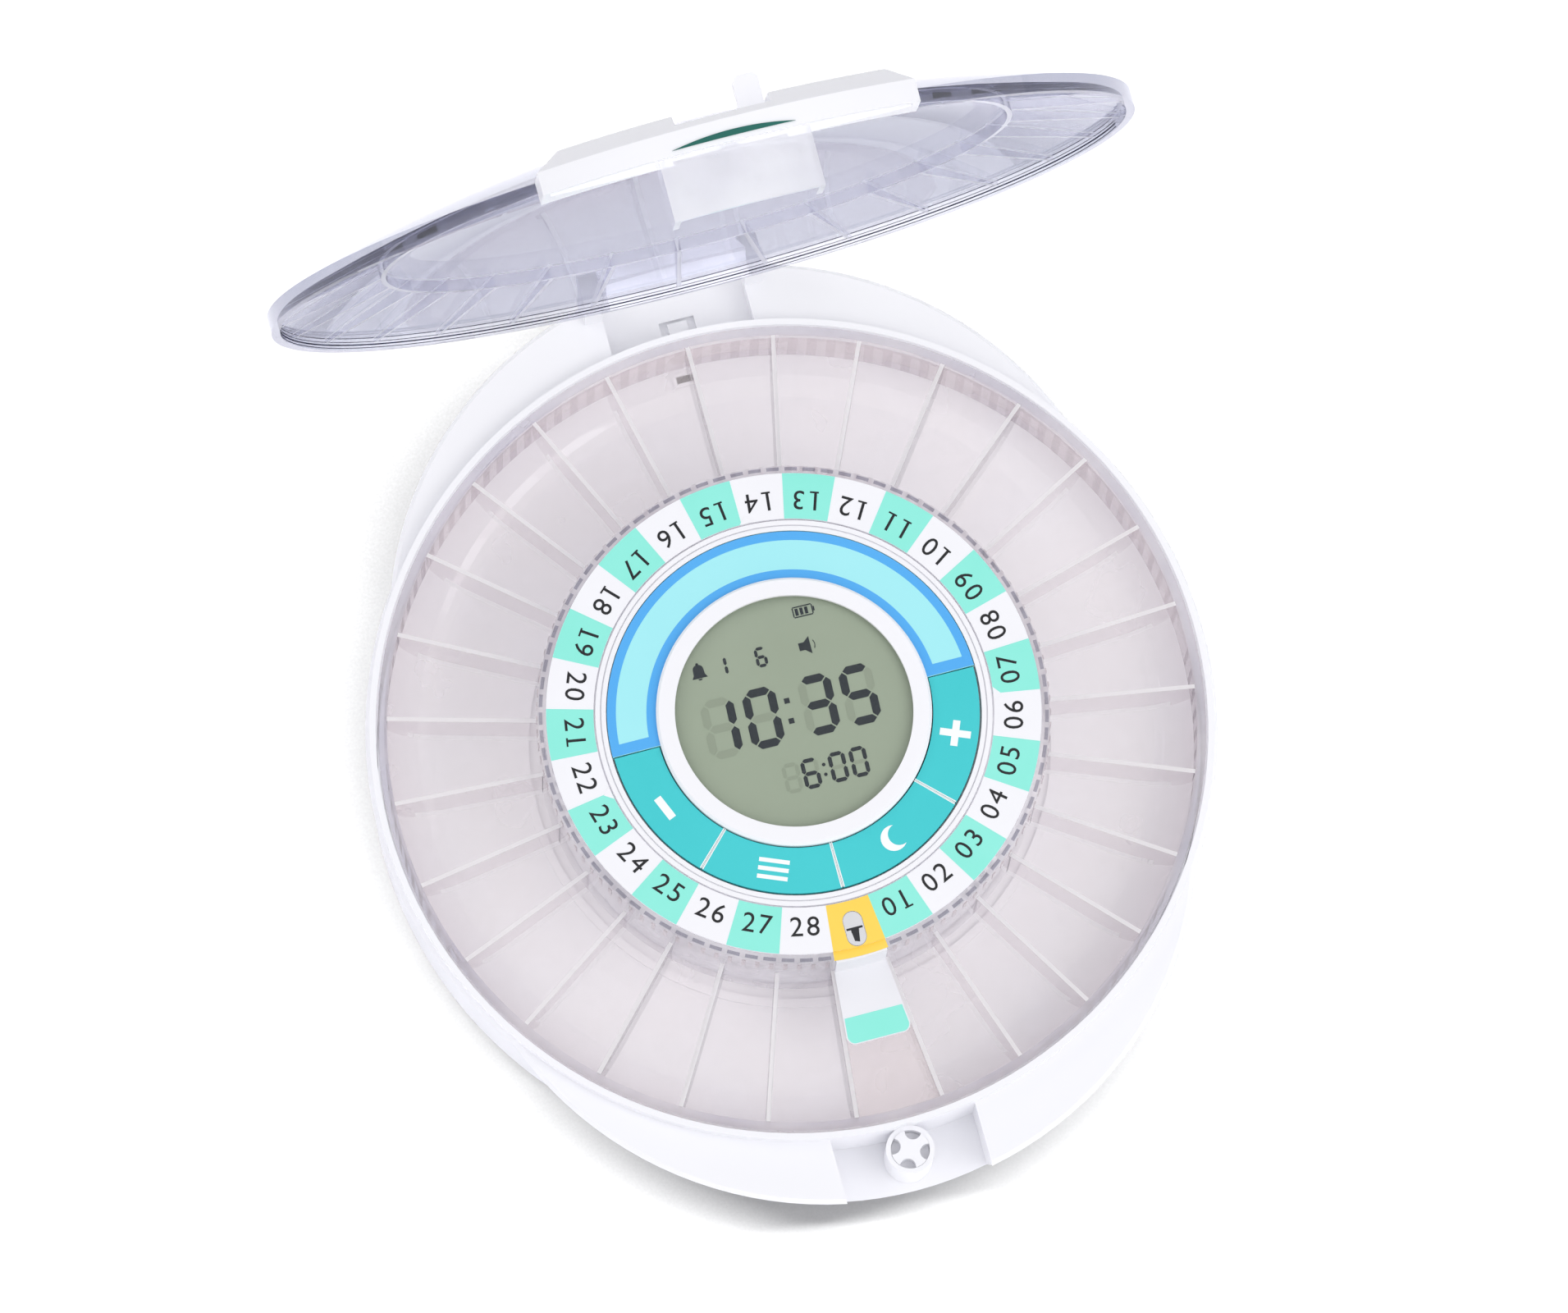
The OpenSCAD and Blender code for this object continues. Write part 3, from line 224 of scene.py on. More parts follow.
# Flat shapes in the plane z, each a list of (x, y) corners in mm, as one piece with a small thickness
def flatPiece(name, outlines, z, body, made, thick):
    shape = bmesh.new()
    for outline in outlines:
        turns = sum(a[0] * b[1] - b[0] * a[1] for a, b in zip(outline, outline[1:] + outline[:1]))
        ordered = outline if turns > 0 else outline[::-1]
        top = [shape.verts.new((x * mm, y * mm, (z + thick) * mm)) for x, y in ordered]
        foot = [shape.verts.new((x * mm, y * mm, z * mm)) for x, y in ordered]
        shape.faces.new(top)
        shape.faces.new(foot[::-1])
        count = len(ordered)
        for k in range(count):
            shape.faces.new((foot[k], foot[(k + 1) % count], top[(k + 1) % count], top[k]))
    mesh = bpy.data.meshes.new(name)
    shape.to_mesh(mesh)
    shape.free()
    return finishMesh(name, mesh, body, made)


def onCircle(radius, degrees):
    angle = math.radians(degrees)
    return radius * math.cos(angle), radius * math.sin(angle)


def moved(points, x, y):
    return [(x + px, y + py) for px, py in points]


def turned(points, degrees, centre=(0, 0)):
    c, s = onCircle(1, degrees)
    return moved([(x * c - y * s, x * s + y * c) for x, y in points], *centre)


# Points along an arc, angles in degrees
def arc(radius, start, end, steps):
    return [onCircle(radius, start + (end - start) * k / steps) for k in range(steps + 1)]


def sector(inner, outer, start, end, steps):
    return arc(outer, start, end, steps) + arc(inner, end, start, steps)


def disc(x, y, radius, steps=24):
    return moved(arc(radius, 0, 360, steps)[:-1], x, y)


def box(x, y, w, h):
    return [(x - w / 2, y - h / 2), (x + w / 2, y - h / 2), (x + w / 2, y + h / 2), (x - w / 2, y + h / 2)]


# A printed figure as a flat mesh, centred, with its height in mm
def figureMeshOf(text, height):
    curve = bpy.data.curves.new("figures", "FONT")
    curve.body = text
    curve.align_x = "CENTER"
    curve.align_y = "CENTER"
    curve.resolution_u = 4
    temporary = bpy.data.objects.new("figures", curve)
    bpy.context.scene.collection.objects.link(temporary)
    bpy.context.view_layer.update()
    mesh = bpy.data.meshes.new_from_object(temporary)
    bpy.data.objects.remove(temporary)
    bpy.data.curves.remove(curve)
    ys = [v.co.y for v in mesh.vertices]
    xs = [v.co.x for v in mesh.vertices]
    scale = height * mm / (max(ys) - min(ys))
    centre = Vector(((max(xs) + min(xs)) / 2, (max(ys) + min(ys)) / 2, 0))
    mesh.transform(Matrix.Scale(scale, 4) @ Matrix.Translation(-centre))
    return mesh


print("materials")

# White ABS, moulded: the satin skin scatters light softly and shows no grain at arm's length
caseLook = {"low": "#f1f1f5", "high": "#f5f5f9", "cloudSize": 60, "grainSize": 0.35, "grainDepth": 0.01,
            "roughness": 0.36, "glossVary": 0.06, "depth": 0.12, "depthScale": 1.2}
caseWhite = solidMaterial("white_abs_moulded", caseLook)

# Polycarbonate lid, moulded: colourless face on, lavender grey where the eye looks along the wall, partly
# its own tint and partly painted shade
lidLook = {"face": "#f4f4f8", "middle": "#e3e4eb", "edge": "#bfc0cd", "turn": 0.45, "blend": 0.5,
           "gloss": "#fafafc", "roughness": 0.03, "haze": "#f4f4f8", "hazeAmount": 0.03, "shine": 1.0,
           "waveSize": 22, "waveDepth": 0.015, "cloudSize": 40}
lidClear = clearMaterial("polycarbonate_lid_moulded", lidLook)

# The ribs' free edges face the lid's mouth and catch the light
lidOpen = 82
mouthZ, mouthY = onCircle(-1, lidOpen)
# The ribs' dark edge-on tint is painted shade
ribLook = dict(lidLook, face="#fbfbfd", middle="#f2f2f6", edge="#77788a", turn=0.86, hazeAmount=0.01,
               shine=0.7, edgeHaze=0.5, edgeAxis=(0.0, mouthY, mouthZ))
ribClear = clearMaterial("polycarbonate_ribs_moulded", ribLook)

# The thick arm glows milky, and so does the chute box with its frosted skin
armLook = dict(lidLook, face="#fcfcfd", middle="#f8f8fa", edge="#e4e4ea", turn=0.8, haze="#ffffff",
               hazeAmount=0.55, shine=0.7)
armClear = clearMaterial("polycarbonate_arm_moulded", armLook)
chuteLook = dict(lidLook, face="#fafafb", middle="#f6f6f8", edge="#dcdce3", haze="#ffffff", hazeAmount=0.42,
                 roughness=0.18, cloudSize=45)
chuteFrost = clearMaterial("polycarbonate_chute_frosted", chuteLook)

# Styrene tray, moulded: clear with a little more grey than the lid
trayLook = {"face": "#fcfafa", "middle": "#f7f3f4", "edge": "#c9c4ca", "turn": 0.6, "blend": 0.5,
            "gloss": "#ffffff", "roughness": 0.07, "haze": "#fbf4f3", "hazeAmount": 0.2, "shine": 1.1,
            "waveSize": 9, "waveDepth": 0.02, "cloudSize": 25}
trayClear = clearMaterial("styrene_tray_moulded", trayLook)
upward = (0.0, 0.0, 1.0)
# The outer wall's rim top takes a grey tint of painted shade
wallLook = dict(trayLook, middle="#f9f7f8", edge="#8f8d98", turn=0.86, hazeAmount=0.3, haze="#fffaf8",
                shine=0.8, edgeHaze=0.02, edgeShadeTint="#e3e3ec", edgeAxis=upward)
wallClear = clearMaterial("styrene_wall_clear", wallLook)

# The dividers are thin and clear: light gathers in their edges, which are seen as pale lines; their dark
# outlines are painted shade from the edge-on tint
dividerLook = dict(trayLook, face="#fdfcfc", middle="#f8f6f7", edge="#62606e", turn=0.86, haze="#ffffff",
                   hazeAmount=0.04, shine=0.8, edgeHaze=0.8, edgeAxis=upward)
dividerClear = clearMaterial("styrene_divider_clear", dividerLook)

# The inner wall's flange is ribbed from below, which scatters light and turns it nearly white
flangeLook = dict(trayLook, haze="#fbfafd", hazeAmount=0.34, cloudSize=12)
flangeClear = clearMaterial("styrene_flange_ribbed", flangeLook)
# Painted shade: grey-tinted clear for the flange pockets
pocketShadeLook = dict(trayLook, face="#e2e3e8", middle="#dedfe5", edge="#c9cad2", hazeAmount=0.05, cloudSize=6)
pocketShadeClear = clearMaterial("styrene_pocket_shaded", pocketShadeLook)

# Hard coated acrylic window: almost nothing but its gloss is seen
windowLook = {"face": "#fbfcfb", "middle": "#f3f5f3", "edge": "#d0d4d2", "turn": 0.7, "blend": 0.4,
              "gloss": "#ffffff", "roughness": 0.03, "haze": "#ffffff", "hazeAmount": 0.004, "shine": 0.5,
              "waveSize": 30, "waveDepth": 0.004, "cloudSize": 20}
windowClear = clearMaterial("acrylic_window_coated", windowLook)

# Screen-printed polyester film: even colour with a fine print grain
filmLook = {"low": "#35c6cb", "high": "#42cfd3", "cloudSize": 30, "grainSize": 0.25, "grainDepth": 0.006,
            "roughness": 0.42, "glossVary": 0.06}
keyFilm = solidMaterial("polyester_film_teal_print", filmLook)
arcFilm = solidMaterial("polyester_film_cyan_print", dict(filmLook, low="#9eeaf0", high="#a9eef3"))
borderInk = solidMaterial("screen_ink_blue", dict(filmLook, low="#4aa8ee", high="#53b1f2"))
symbolInk = solidMaterial("screen_ink_white", dict(filmLook, low="#f4f8f8", high="#fafcfc"))

# Offset-printed coated card: paper fibres show as a faint mottle
cardLook = {"low": "#f0f0f4", "high": "#f5f5f9", "cloudSize": 12, "grainSize": 0.4, "grainDepth": 0.012,
            "roughness": 0.5, "glossVary": 0.08}
cardWhite = solidMaterial("coated_card_white", cardLook)
labelWhite = solidMaterial("coated_label_white", dict(cardLook, low="#e9e9ed", high="#eeeef2"))
cardMint = solidMaterial("coated_card_mint_print", dict(cardLook, low="#88ead8", high="#93eedf"))
cardYellow = solidMaterial("coated_card_yellow_print", dict(cardLook, low="#fbd24e", high="#fcd95c"))
figureInk = solidMaterial("offset_ink_black", dict(cardLook, low="#0d0e11", high="#16171b"))

# Reflective liquid crystal glass: grey green with a slow cloud from the polariser
glassLook = {"low": "#98a38f", "high": "#a0ab97", "cloudSize": 26, "grainSize": 0.2, "grainDepth": 0.003,
             "roughness": 0.45, "glossVary": 0.05}
displayGlass = solidMaterial("lcd_polariser_grey_green", glassLook)
segmentDark = solidMaterial("lcd_segment_dark", dict(glassLook, low="#101a24", high="#16222c"))
segmentGhost = solidMaterial("lcd_segment_unlit", dict(glassLook, low="#8d9784", high="#959f8c"))

# Pad-printed strip: deep teal with more shine than the films
stripLook = dict(filmLook, low="#005c52", high="#02665b", roughness=0.3)
stripTeal = solidMaterial("pad_print_deep_teal", stripLook)

# Plated steel, drawn: fine lines along the draw
steelLook = {"low": "#b8bac0", "high": "#c8cad0", "cloudSize": 8, "grainSize": 0.3, "grainDepth": 0.01,
             "roughness": 0.28, "glossVary": 0.12, "metallic": 1.0, "stretch": (1.0, 1.0, 0.1)}
steelPlated = solidMaterial("steel_drawn_plated", steelLook)

# Peg with a bright skin: it mirrors the room in its rounded top
pegLook = dict(steelLook, low="#e3e4e8", high="#f0f0f4", roughness=0.12, glossVary=0.05)
pegBright = solidMaterial("peg_moulded_bright", pegLook)

# Moulded rubber and nylon, matt: a coarse grain that takes the shine off
rubberLook = {"low": "#3a3a3e", "high": "#444448", "cloudSize": 6, "grainSize": 0.5, "grainDepth": 0.03,
              "roughness": 0.85, "glossVary": 0.1}
rubberMoulded = solidMaterial("rubber_moulded_matt", rubberLook)
greyLook = dict(rubberLook, low="#6e7074", high="#7a7c80", roughness=0.55)
greyNylon = solidMaterial("nylon_moulded_grey", greyLook)
blackLook = dict(rubberLook, low="#1c1c1f", high="#242428", roughness=0.5)
blackNylon = solidMaterial("nylon_moulded_black", blackLook)
# Painted shade: near black for the shadow in the start peg's gap
pegShade = solidMaterial("peg_gap_shaded", dict(blackLook, low="#17181c", high="#24252b"))

# Glass fibre board under its green mask, and the shrunk film round a battery cell: even and a little glossy
boardLook = dict(filmLook, low="#0f5a36", high="#146640", grainSize=0.8)
boardMask = solidMaterial("fibreglass_board_green_mask", boardLook)
cellLook = dict(filmLook, low="#b8892f", high="#c89a3c", roughness=0.3)
cellJacket = solidMaterial("battery_sleeve_shrunk_film", cellLook)

paint(["lower_case", "upper_case", "chassis_plate", "panel_tower", "battery_cover", "display_holder",
       "display_bezel", "lock_sleeve", "tray_gear", "drive_pinion", "front_trim", "dispensing_door",
       "lock_plug", "hinge_pin"], caseWhite)
paint(["tray_floor", "start_cover"], trayClear)
paint(["tray_outer_wall"], wallClear)
paint(["tray_dividers"], dividerClear)
paint(["tray_inner_wall"], flangeClear)
paint(["lid_dome"], lidClear)
paint(["lid_ribs"], ribClear)
paint(["lid_arm"], armClear)
paint(["chute_box"], chuteFrost)
paint(["display_window"], windowClear)
paint(["plus_key", "minus_key", "menu_key", "sleep_key"], keyFilm)
paint(["arc_window"], arcFilm)
paint(["number_card"], cardWhite)
paint(["start_label"], labelWhite)
paint(["teal_strip"], stripTeal)
paint(["display_panel"], displayGlass)
paint(["case_screws", "battery_cover_screw", "battery_contacts", "motor_can", "lock_cam"], steelPlated)
paint(["start_peg"], pegBright)
paint(["rubber_feet"], rubberMoulded)
paint(["main_board", "key_board"], boardMask)
paint(["key_switches", "gear_motor"], greyNylon)
paint(["position_sensor", "speaker"], blackNylon)
paint(["battery_cells"], cellJacket)

# Clear pieces let the room's light through to what lies under them
for name in ("lid_dome", "lid_ribs", "lid_arm", "chute_box", "tray_floor", "tray_outer_wall",
             "tray_inner_wall", "tray_dividers", "start_cover", "display_window"):
    nodes[name].visible_shadow = False
    nodes[name].visible_diffuse = False
# The pieces on the lid's front edge throw no shadow, and the inner gear isn't mirrored in the clear tray
for name in ("front_trim", "teal_strip", "dispensing_door"):
    nodes[name].visible_shadow = False
nodes["tray_gear"].visible_glossy = False

print("ring card")
# Sizes in mm, angles in degrees
card = {"inner": 46.9, "outer": 58.0, "cells": 29, "first": -90.0, "inset": 0.02}
ink = {"lift": 0.01, "thick": 0.02}  # print lies just clear of its ground
cellAngle = 360 / card["cells"]
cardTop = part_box("number_card")[1].z / mm
fieldInner, fieldOuter = card["inner"] + card["inset"], card["outer"] - card["inset"]


def cellSector(inner, outer, cell):
    middle = card["first"] + cell * cellAngle
    return sector(inner, outer, middle - cellAngle / 2, middle + cellAngle / 2, 8)


# Whether an angle lies outside the start cell
def pastStart(angle):
    return abs((angle - card["first"] + 180) % 360 - 180) > cellAngle / 2


mintCells = [cellSector(fieldInner, fieldOuter, k) for k in range(1, card["cells"], 2)]
flatPiece("card_mint_cells", mintCells, cardTop + ink["lift"], "tray", cardMint, ink["thick"])

# The start cell's yellow field leaves the peg's oval free
peg = {"half": 1.9, "r": 2.35, "steps": 16, "fieldSteps": 6}
pegLow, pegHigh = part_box("start_peg")
pegY = (pegLow.y + pegHigh.y) / 2 / mm


# The peg's oval, from its right side round by the far end
def pegOval():
    far = moved(arc(peg["r"], 0, 180, peg["steps"]), 0, pegY + peg["half"])
    near = moved(arc(peg["r"], 180, 360, peg["steps"]), 0, pegY - peg["half"])
    return far + near


def halfField(side):
    oval = sorted((p for p in pegOval() if p[0] * side >= -1e-6), key=lambda p: p[1])
    down, half = card["first"], side * cellAngle / 2
    rim = arc(fieldOuter, down, down + half, peg["fieldSteps"])
    bore = arc(fieldInner, down + half, down, peg["fieldSteps"])
    return rim + bore + oval[::-1]


flatPiece("card_start_field", [halfField(1), halfField(-1)], cardTop + ink["lift"], "tray", cardYellow,
          ink["thick"])

# The yellow print runs over the card's edge and on along the flange below it
flangeTop = 50.7
flap = {"inner": 58.05, "outer": 60.08, "edgeInner": 58.005, "edgeOuter": 58.045, "edgeLift": 0.03,
        "edgeHigh": 0.78}
flatPiece("card_start_flap", [cellSector(flap["inner"], flap["outer"], 0)], flangeTop + ink["lift"], "tray",
          cardYellow, ink["thick"])
flatPiece("card_start_edge", [cellSector(flap["edgeInner"], flap["edgeOuter"], 0)],
          flangeTop + flap["edgeLift"], "tray", cardYellow, flap["edgeHigh"])

# Painted shade in the peg's gap: a dark flat piece on the peg's top, a bar with a stem below it
gap = {"barHalf": 1.95, "barTop": 0.35, "barFoot": -0.15, "stemHalf": 0.95, "stemTop": -0.2, "lift": 0.005,
       "stemFoot": [(-0.7, -2.9), (0.45, -3.3)]}
pegGapShade = [(-gap["barHalf"], gap["barTop"]), (-gap["barHalf"], gap["barFoot"]),
          (-gap["stemHalf"], gap["stemTop"]), *gap["stemFoot"], (gap["stemHalf"], gap["stemTop"]),
          (gap["barHalf"], gap["barFoot"]), (gap["barHalf"], gap["barTop"])]
flatPiece("start_peg_gap_painted_shade", [moved(pegGapShade, 0, pegY)], pegHigh.z / mm + gap["lift"], "tray", pegShade,
          ink["thick"])

# Day numbers, widely set, their tops towards the middle; the 1 stands on a foot
day = {"r": 51.4, "high": 4.6, "pitch": 3.9, "lift": 0.05, "footW": 2.1, "footT": 0.42, "footX": 0.3,
       "footLift": 0.01}
figures = bmesh.new()
for k in range(1, card["cells"]):
    degrees = card["first"] + k * cellAngle
    x, y = onCircle(day["r"] * mm, degrees)
    place = (Matrix.Translation((x, y, (cardTop + day["lift"]) * mm))
             @ Matrix.Rotation(math.radians(degrees + 90), 4, "Z"))
    for figure, side in zip("%02d" % k, (-1, 1)):
        made = figureMeshOf(figure, day["high"])
        shift = Matrix.Translation((side * day["pitch"] / 2 * mm, 0, 0))
        made.transform(place @ shift)
        figures.from_mesh(made)
        bpy.data.meshes.remove(made)
        if figure == "1":
            foot = box(day["footX"], (day["footT"] - day["high"]) / 2, day["footW"], day["footT"])
            corners = [Vector((footX * mm, footY * mm, day["footLift"] * mm)) for footX, footY in foot]
            figures.faces.new([figures.verts.new(place @ shift @ corner) for corner in corners])
figureMesh = bpy.data.meshes.new("card_figures")
figures.to_mesh(figureMesh)
figures.free()
finishMesh("card_figures", figureMesh, "tray", figureInk)

# White pointers at the card's inner edge
pointer = {"foot": 46.95, "tip": 48.8, "half": 1.7, "angles": (88.5, -9.5, -170.5), "lift": 0.04}
arrow = [(pointer["foot"], -pointer["half"]), (pointer["tip"], 0), (pointer["foot"], pointer["half"])]
flatPiece("card_pointers", [turned(arrow, angle) for angle in pointer["angles"]], cardTop + pointer["lift"],
          "tray", cardWhite, ink["thick"])

print("start label")
# A mint band with rounded outer corners on the start cell's label
label = {"thick": 0.5, "inner": 71.6, "half": 6.95, "cornerX": 76.1, "cornerY": 5.55, "cornerR": 1.85,
         "step": 15}
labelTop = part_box("start_label")[0].z / mm + label["thick"]
cornerSteps = 90 // label["step"] - 1
rightCorner = arc(label["cornerR"], 90, label["step"], cornerSteps)
rightCorner = moved(rightCorner, label["cornerX"], label["cornerY"])
leftCorner = [(x, -y) for x, y in reversed(rightCorner)]
band = [(label["inner"], label["half"]), *rightCorner, *leftCorner, (label["inner"], -label["half"])]
flatPiece("label_mint_band", [turned(band, card["first"])], labelTop + ink["lift"], "tray", cardMint,
          ink["thick"])

print("key film and symbols")
keyBand = {"inner": 32.32, "outer": 43.78, "span": 45, "gap": 0.3, "gapR": 38.0, "slack": 0.02}
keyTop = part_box("plus_key")[1].z / mm
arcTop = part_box("arc_window")[1].z / mm


# A band between two radii and two heights, on the +X side
def levelBand(inner, outer, low, high, steps=6):
    rise = [low + (high - low) * k / steps for k in range(steps + 1)]
    return ([(math.sqrt(outer ** 2 - y ** 2), y) for y in rise]
            + [(math.sqrt(inner ** 2 - y ** 2), y) for y in reversed(rise)])


# The upper half of a ring, cut off level at a height
def levelSector(inner, outer, low, steps=90):
    outerStart, innerStart = (math.degrees(math.asin(low / radius)) for radius in (outer, inner))
    return arc(outer, outerStart, 180 - outerStart, steps) + arc(inner, 180 - innerStart, innerStart, steps)


# Blue border printed round the arc
border = {"outer": 2.1, "inner": 2.2, "end": 2.6, "edge": 0.25}
borderOuter, borderInner = keyBand["outer"] - border["outer"], keyBand["inner"] + border["inner"]
endBand = levelBand(borderInner, borderOuter, border["edge"], border["edge"] + border["end"])
borderOutlines = [levelSector(borderOuter, keyBand["outer"], border["edge"]),
                  levelSector(keyBand["inner"], borderInner, border["edge"]),
                  endBand, [(-x, y) for x, y in endBand]]
flatPiece("arc_blue_border", borderOutlines, arcTop + ink["lift"], "base", borderInk,
          ink["thick"])

# White print along the keys' sides, and a white rib in each gap between two keys
keyEdge = {"wide": 0.24, "fromBezel": 0.1, "fromRim": 0.4}
gapAngle = math.degrees(keyBand["gap"] / keyBand["gapR"])
edgeAngle = math.degrees(keyEdge["wide"] / keyBand["gapR"])
keyEnds = {name: -keyBand["span"] * k for k, name in enumerate(("plus", "sleep", "menu", "minus"))}
for name, end in keyEnds.items():
    start = end - keyBand["span"]
    low, high = start + gapAngle / 2 + keyBand["slack"], end - gapAngle / 2 - keyBand["slack"]
    sides = []
    if start > -180:
        sides.append((low, low + edgeAngle))
    if end < 0:
        sides.append((high - edgeAngle, high))
    edges = [sector(keyBand["inner"] + keyEdge["fromBezel"], keyBand["outer"] - keyEdge["fromRim"],
                    *side, 2) for side in sides]
    flatPiece("key_edge_" + name, edges, keyTop + ink["lift"], name + "_button", symbolInk,
              ink["thick"])
keyRib = {"share": 0.28, "fromBezel": 0.2, "fromRim": 0.5, "down": 1.0, "high": 0.95}
ribAngle = gapAngle * keyRib["share"]
ribs = [sector(keyBand["inner"] + keyRib["fromBezel"], keyBand["outer"] - keyRib["fromRim"], end - ribAngle,
               end + ribAngle, 2) for end in keyEnds.values() if end < 0]
flatPiece("key_gap_ribs", ribs, keyTop - keyRib["down"], "base", symbolInk, keyRib["high"])

# Symbols on the keys
plus = {"wide": 6.2, "bar": 1.7, "armY": 2.25, "arm": 2.8}
minus = {"wide": 6.0, "bar": 1.9}
threeBars = {"wide": 7.2, "bar": 1.0, "apart": 2.0}
moon = {"outer": 3.1, "inner": 2.6, "shift": 1.5, "steps": 24}


def crescent():
    outer, inner, shift = moon["outer"], moon["inner"], moon["shift"]
    horn = math.acos((outer ** 2 - inner ** 2 + shift ** 2) / (2 * outer * shift))
    reach = math.degrees(horn)
    back = math.degrees(math.atan2(outer * math.sin(horn), outer * math.cos(horn) - shift))
    hollow = moved(arc(inner, -back, back - 360, moon["steps"])[1:-1], shift, 0)
    return arc(outer, reach, 360 - reach, moon["steps"]) + hollow


plusArms = [box(0, side * plus["armY"], plus["bar"], plus["arm"]) for side in (1, -1)]
menuBars = [box(0, k * threeBars["apart"], threeBars["wide"], threeBars["bar"]) for k in (1, 0, -1)]
symbols = {"plus": ("key_symbol_plus", [box(0, 0, plus["wide"], plus["bar"]), *plusArms]),
           "minus": ("key_symbol_minus", [box(0, 0, minus["wide"], minus["bar"])]),
           "menu": ("key_symbol_bars", menuBars), "sleep": ("key_symbol_moon", [crescent()])}
for key, (name, outlines) in symbols.items():
    angle = keyEnds[key] - keyBand["span"] / 2
    centre = onCircle((keyBand["inner"] + keyBand["outer"]) / 2, angle)
    flatPiece(name, [turned(outline, angle + 90, centre) for outline in outlines], keyTop + ink["lift"],
              key + "_button", symbolInk, ink["thick"])

print("display")
segmentLift = 0.02
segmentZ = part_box("display_panel")[1].z / mm + segmentLift
displayTurn = -0.7
segmentGap = 0.12  # between two bars, as a share of their thickness
barsOf = {"0": "abcdef", "1": "bc", "3": "abcdg", "5": "acdfg", "6": "acdefg", "8": "abcdefg"}


# One seven-segment figure with its lower left corner at x and the row's y: the lit bars or the others
def figureOutlines(text, x, row, lit):
    wide, high, thick = row["w"], row["h"], row["t"]
    chosen = barsOf[text] if lit else "".join(k for k in "abcdefg" if k not in barsOf[text])
    gap, half, middle = thick * segmentGap, thick / 2, high / 2
    level = {"a": high - half, "g": middle, "d": half}
    upright = {"f": (half, middle, high - half), "b": (wide - half, middle, high - half),
               "e": (half, half, middle), "c": (wide - half, half, middle)}
    made = []
    for key in chosen:
        if key in level:
            left, right, cy = half + gap, wide - half - gap, level[key]
            points = [(left, cy), (left + half, cy + half), (right - half, cy + half), (right, cy),
                      (right - half, cy - half), (left + half, cy - half)]
        else:
            cx, foot, top = upright[key]
            low, tip = foot + gap, top - gap
            points = [(cx, low), (cx + half, low + half), (cx + half, tip - half), (cx, tip),
                      (cx - half, tip - half), (cx - half, low + half)]
        made.append(moved([(px + row["slant"] * py, py) for px, py in points], x, row["y"]))
    return made


timeRow = {"y": -6.75, "h": 14.5, "w": 8.0, "t": 1.95, "slant": 0.035}
alarmRow = {"y": -18.8, "h": 7.3, "w": 4.1, "t": 0.95, "slant": 0.02}
doseRow = {"y": 12.4, "h": 4.9, "w": 2.75, "t": 0.74, "slant": 0.02}
figuresShown = [("1", -21.6, timeRow), ("0", -11.5, timeRow), ("3", 1.9, timeRow), ("5", 11.8, timeRow),
                ("6", -1.85, alarmRow), ("0", 4.7, alarmRow), ("0", 9.75, alarmRow),
                ("1", -15.1, doseRow), ("6", -5.55, doseRow)]
hiddenFigureX = -6.4  # the alarm's first figure, unlit
lit, unlit = [], []
for text, x, row in figuresShown:
    lit += figureOutlines(text, x, row, True)
    if row is not doseRow:
        unlit += figureOutlines(text, x, row, False)
unlit += figureOutlines("8", hiddenFigureX, alarmRow, True)

# Square dots between the time's figures, round ones between the alarm's
timeDots = {"places": [(-0.9, 3.15), (-1.05, -1.8)], "side": 1.3}
alarmDots = {"places": [(3.6, -13.8), (3.5, -16.2)], "r": 0.42}
lit += [box(x, y, timeDots["side"], timeDots["side"]) for x, y in timeDots["places"]]
lit += [disc(x, y, alarmDots["r"]) for x, y in alarmDots["places"]]

# Battery: a frame with a nub and three bars
cell = {"x": 8.15, "wide": 4.5, "top": 24.55, "foot": 22.1, "y": 23.33, "high": 2.2, "line": 0.28,
        "endX": (5.85, 10.45), "nub": (10.8, 0.35, 1.1), "barX": (6.7, 7.85, 9.0), "bar": (0.75, 1.7)}
lit += [box(cell["x"], y, cell["wide"], cell["line"]) for y in (cell["top"], cell["foot"])]
lit += [box(x, cell["y"], cell["line"], cell["high"]) for x in cell["endX"]]
lit += [box(cell["nub"][0], cell["y"], *cell["nub"][1:])]
lit += [box(x, cell["y"], *cell["bar"]) for x in cell["barX"]]

# Bell: dome, flared foot, knob and clapper
bell = {"x": -19.2, "y": 14.9, "foot": (1.85, -1.55), "waist": (1.35, -0.7), "shoulder": (1.25, 0.6),
        "domeHigh": 1.15, "knobY": 16.75, "knobR": 0.35,
        "clapper": [(-19.75, 13.2), (-18.65, 13.2), (-18.9, 12.85), (-19.5, 12.85)]}
bellSide = [bell["foot"], bell["waist"], bell["shoulder"]]
bellOther = [(-x, y) for x, y in bellSide]
domeHalf, domeFoot = bell["shoulder"]
dome = [(x, domeFoot + y * bell["domeHigh"] / domeHalf) for x, y in arc(domeHalf, 15, 165, 10)]
lit += [moved(bellOther[:1] + bellSide + dome + bellOther[:0:-1], bell["x"], bell["y"]),
        disc(bell["x"], bell["knobY"], bell["knobR"], 12), bell["clapper"]]

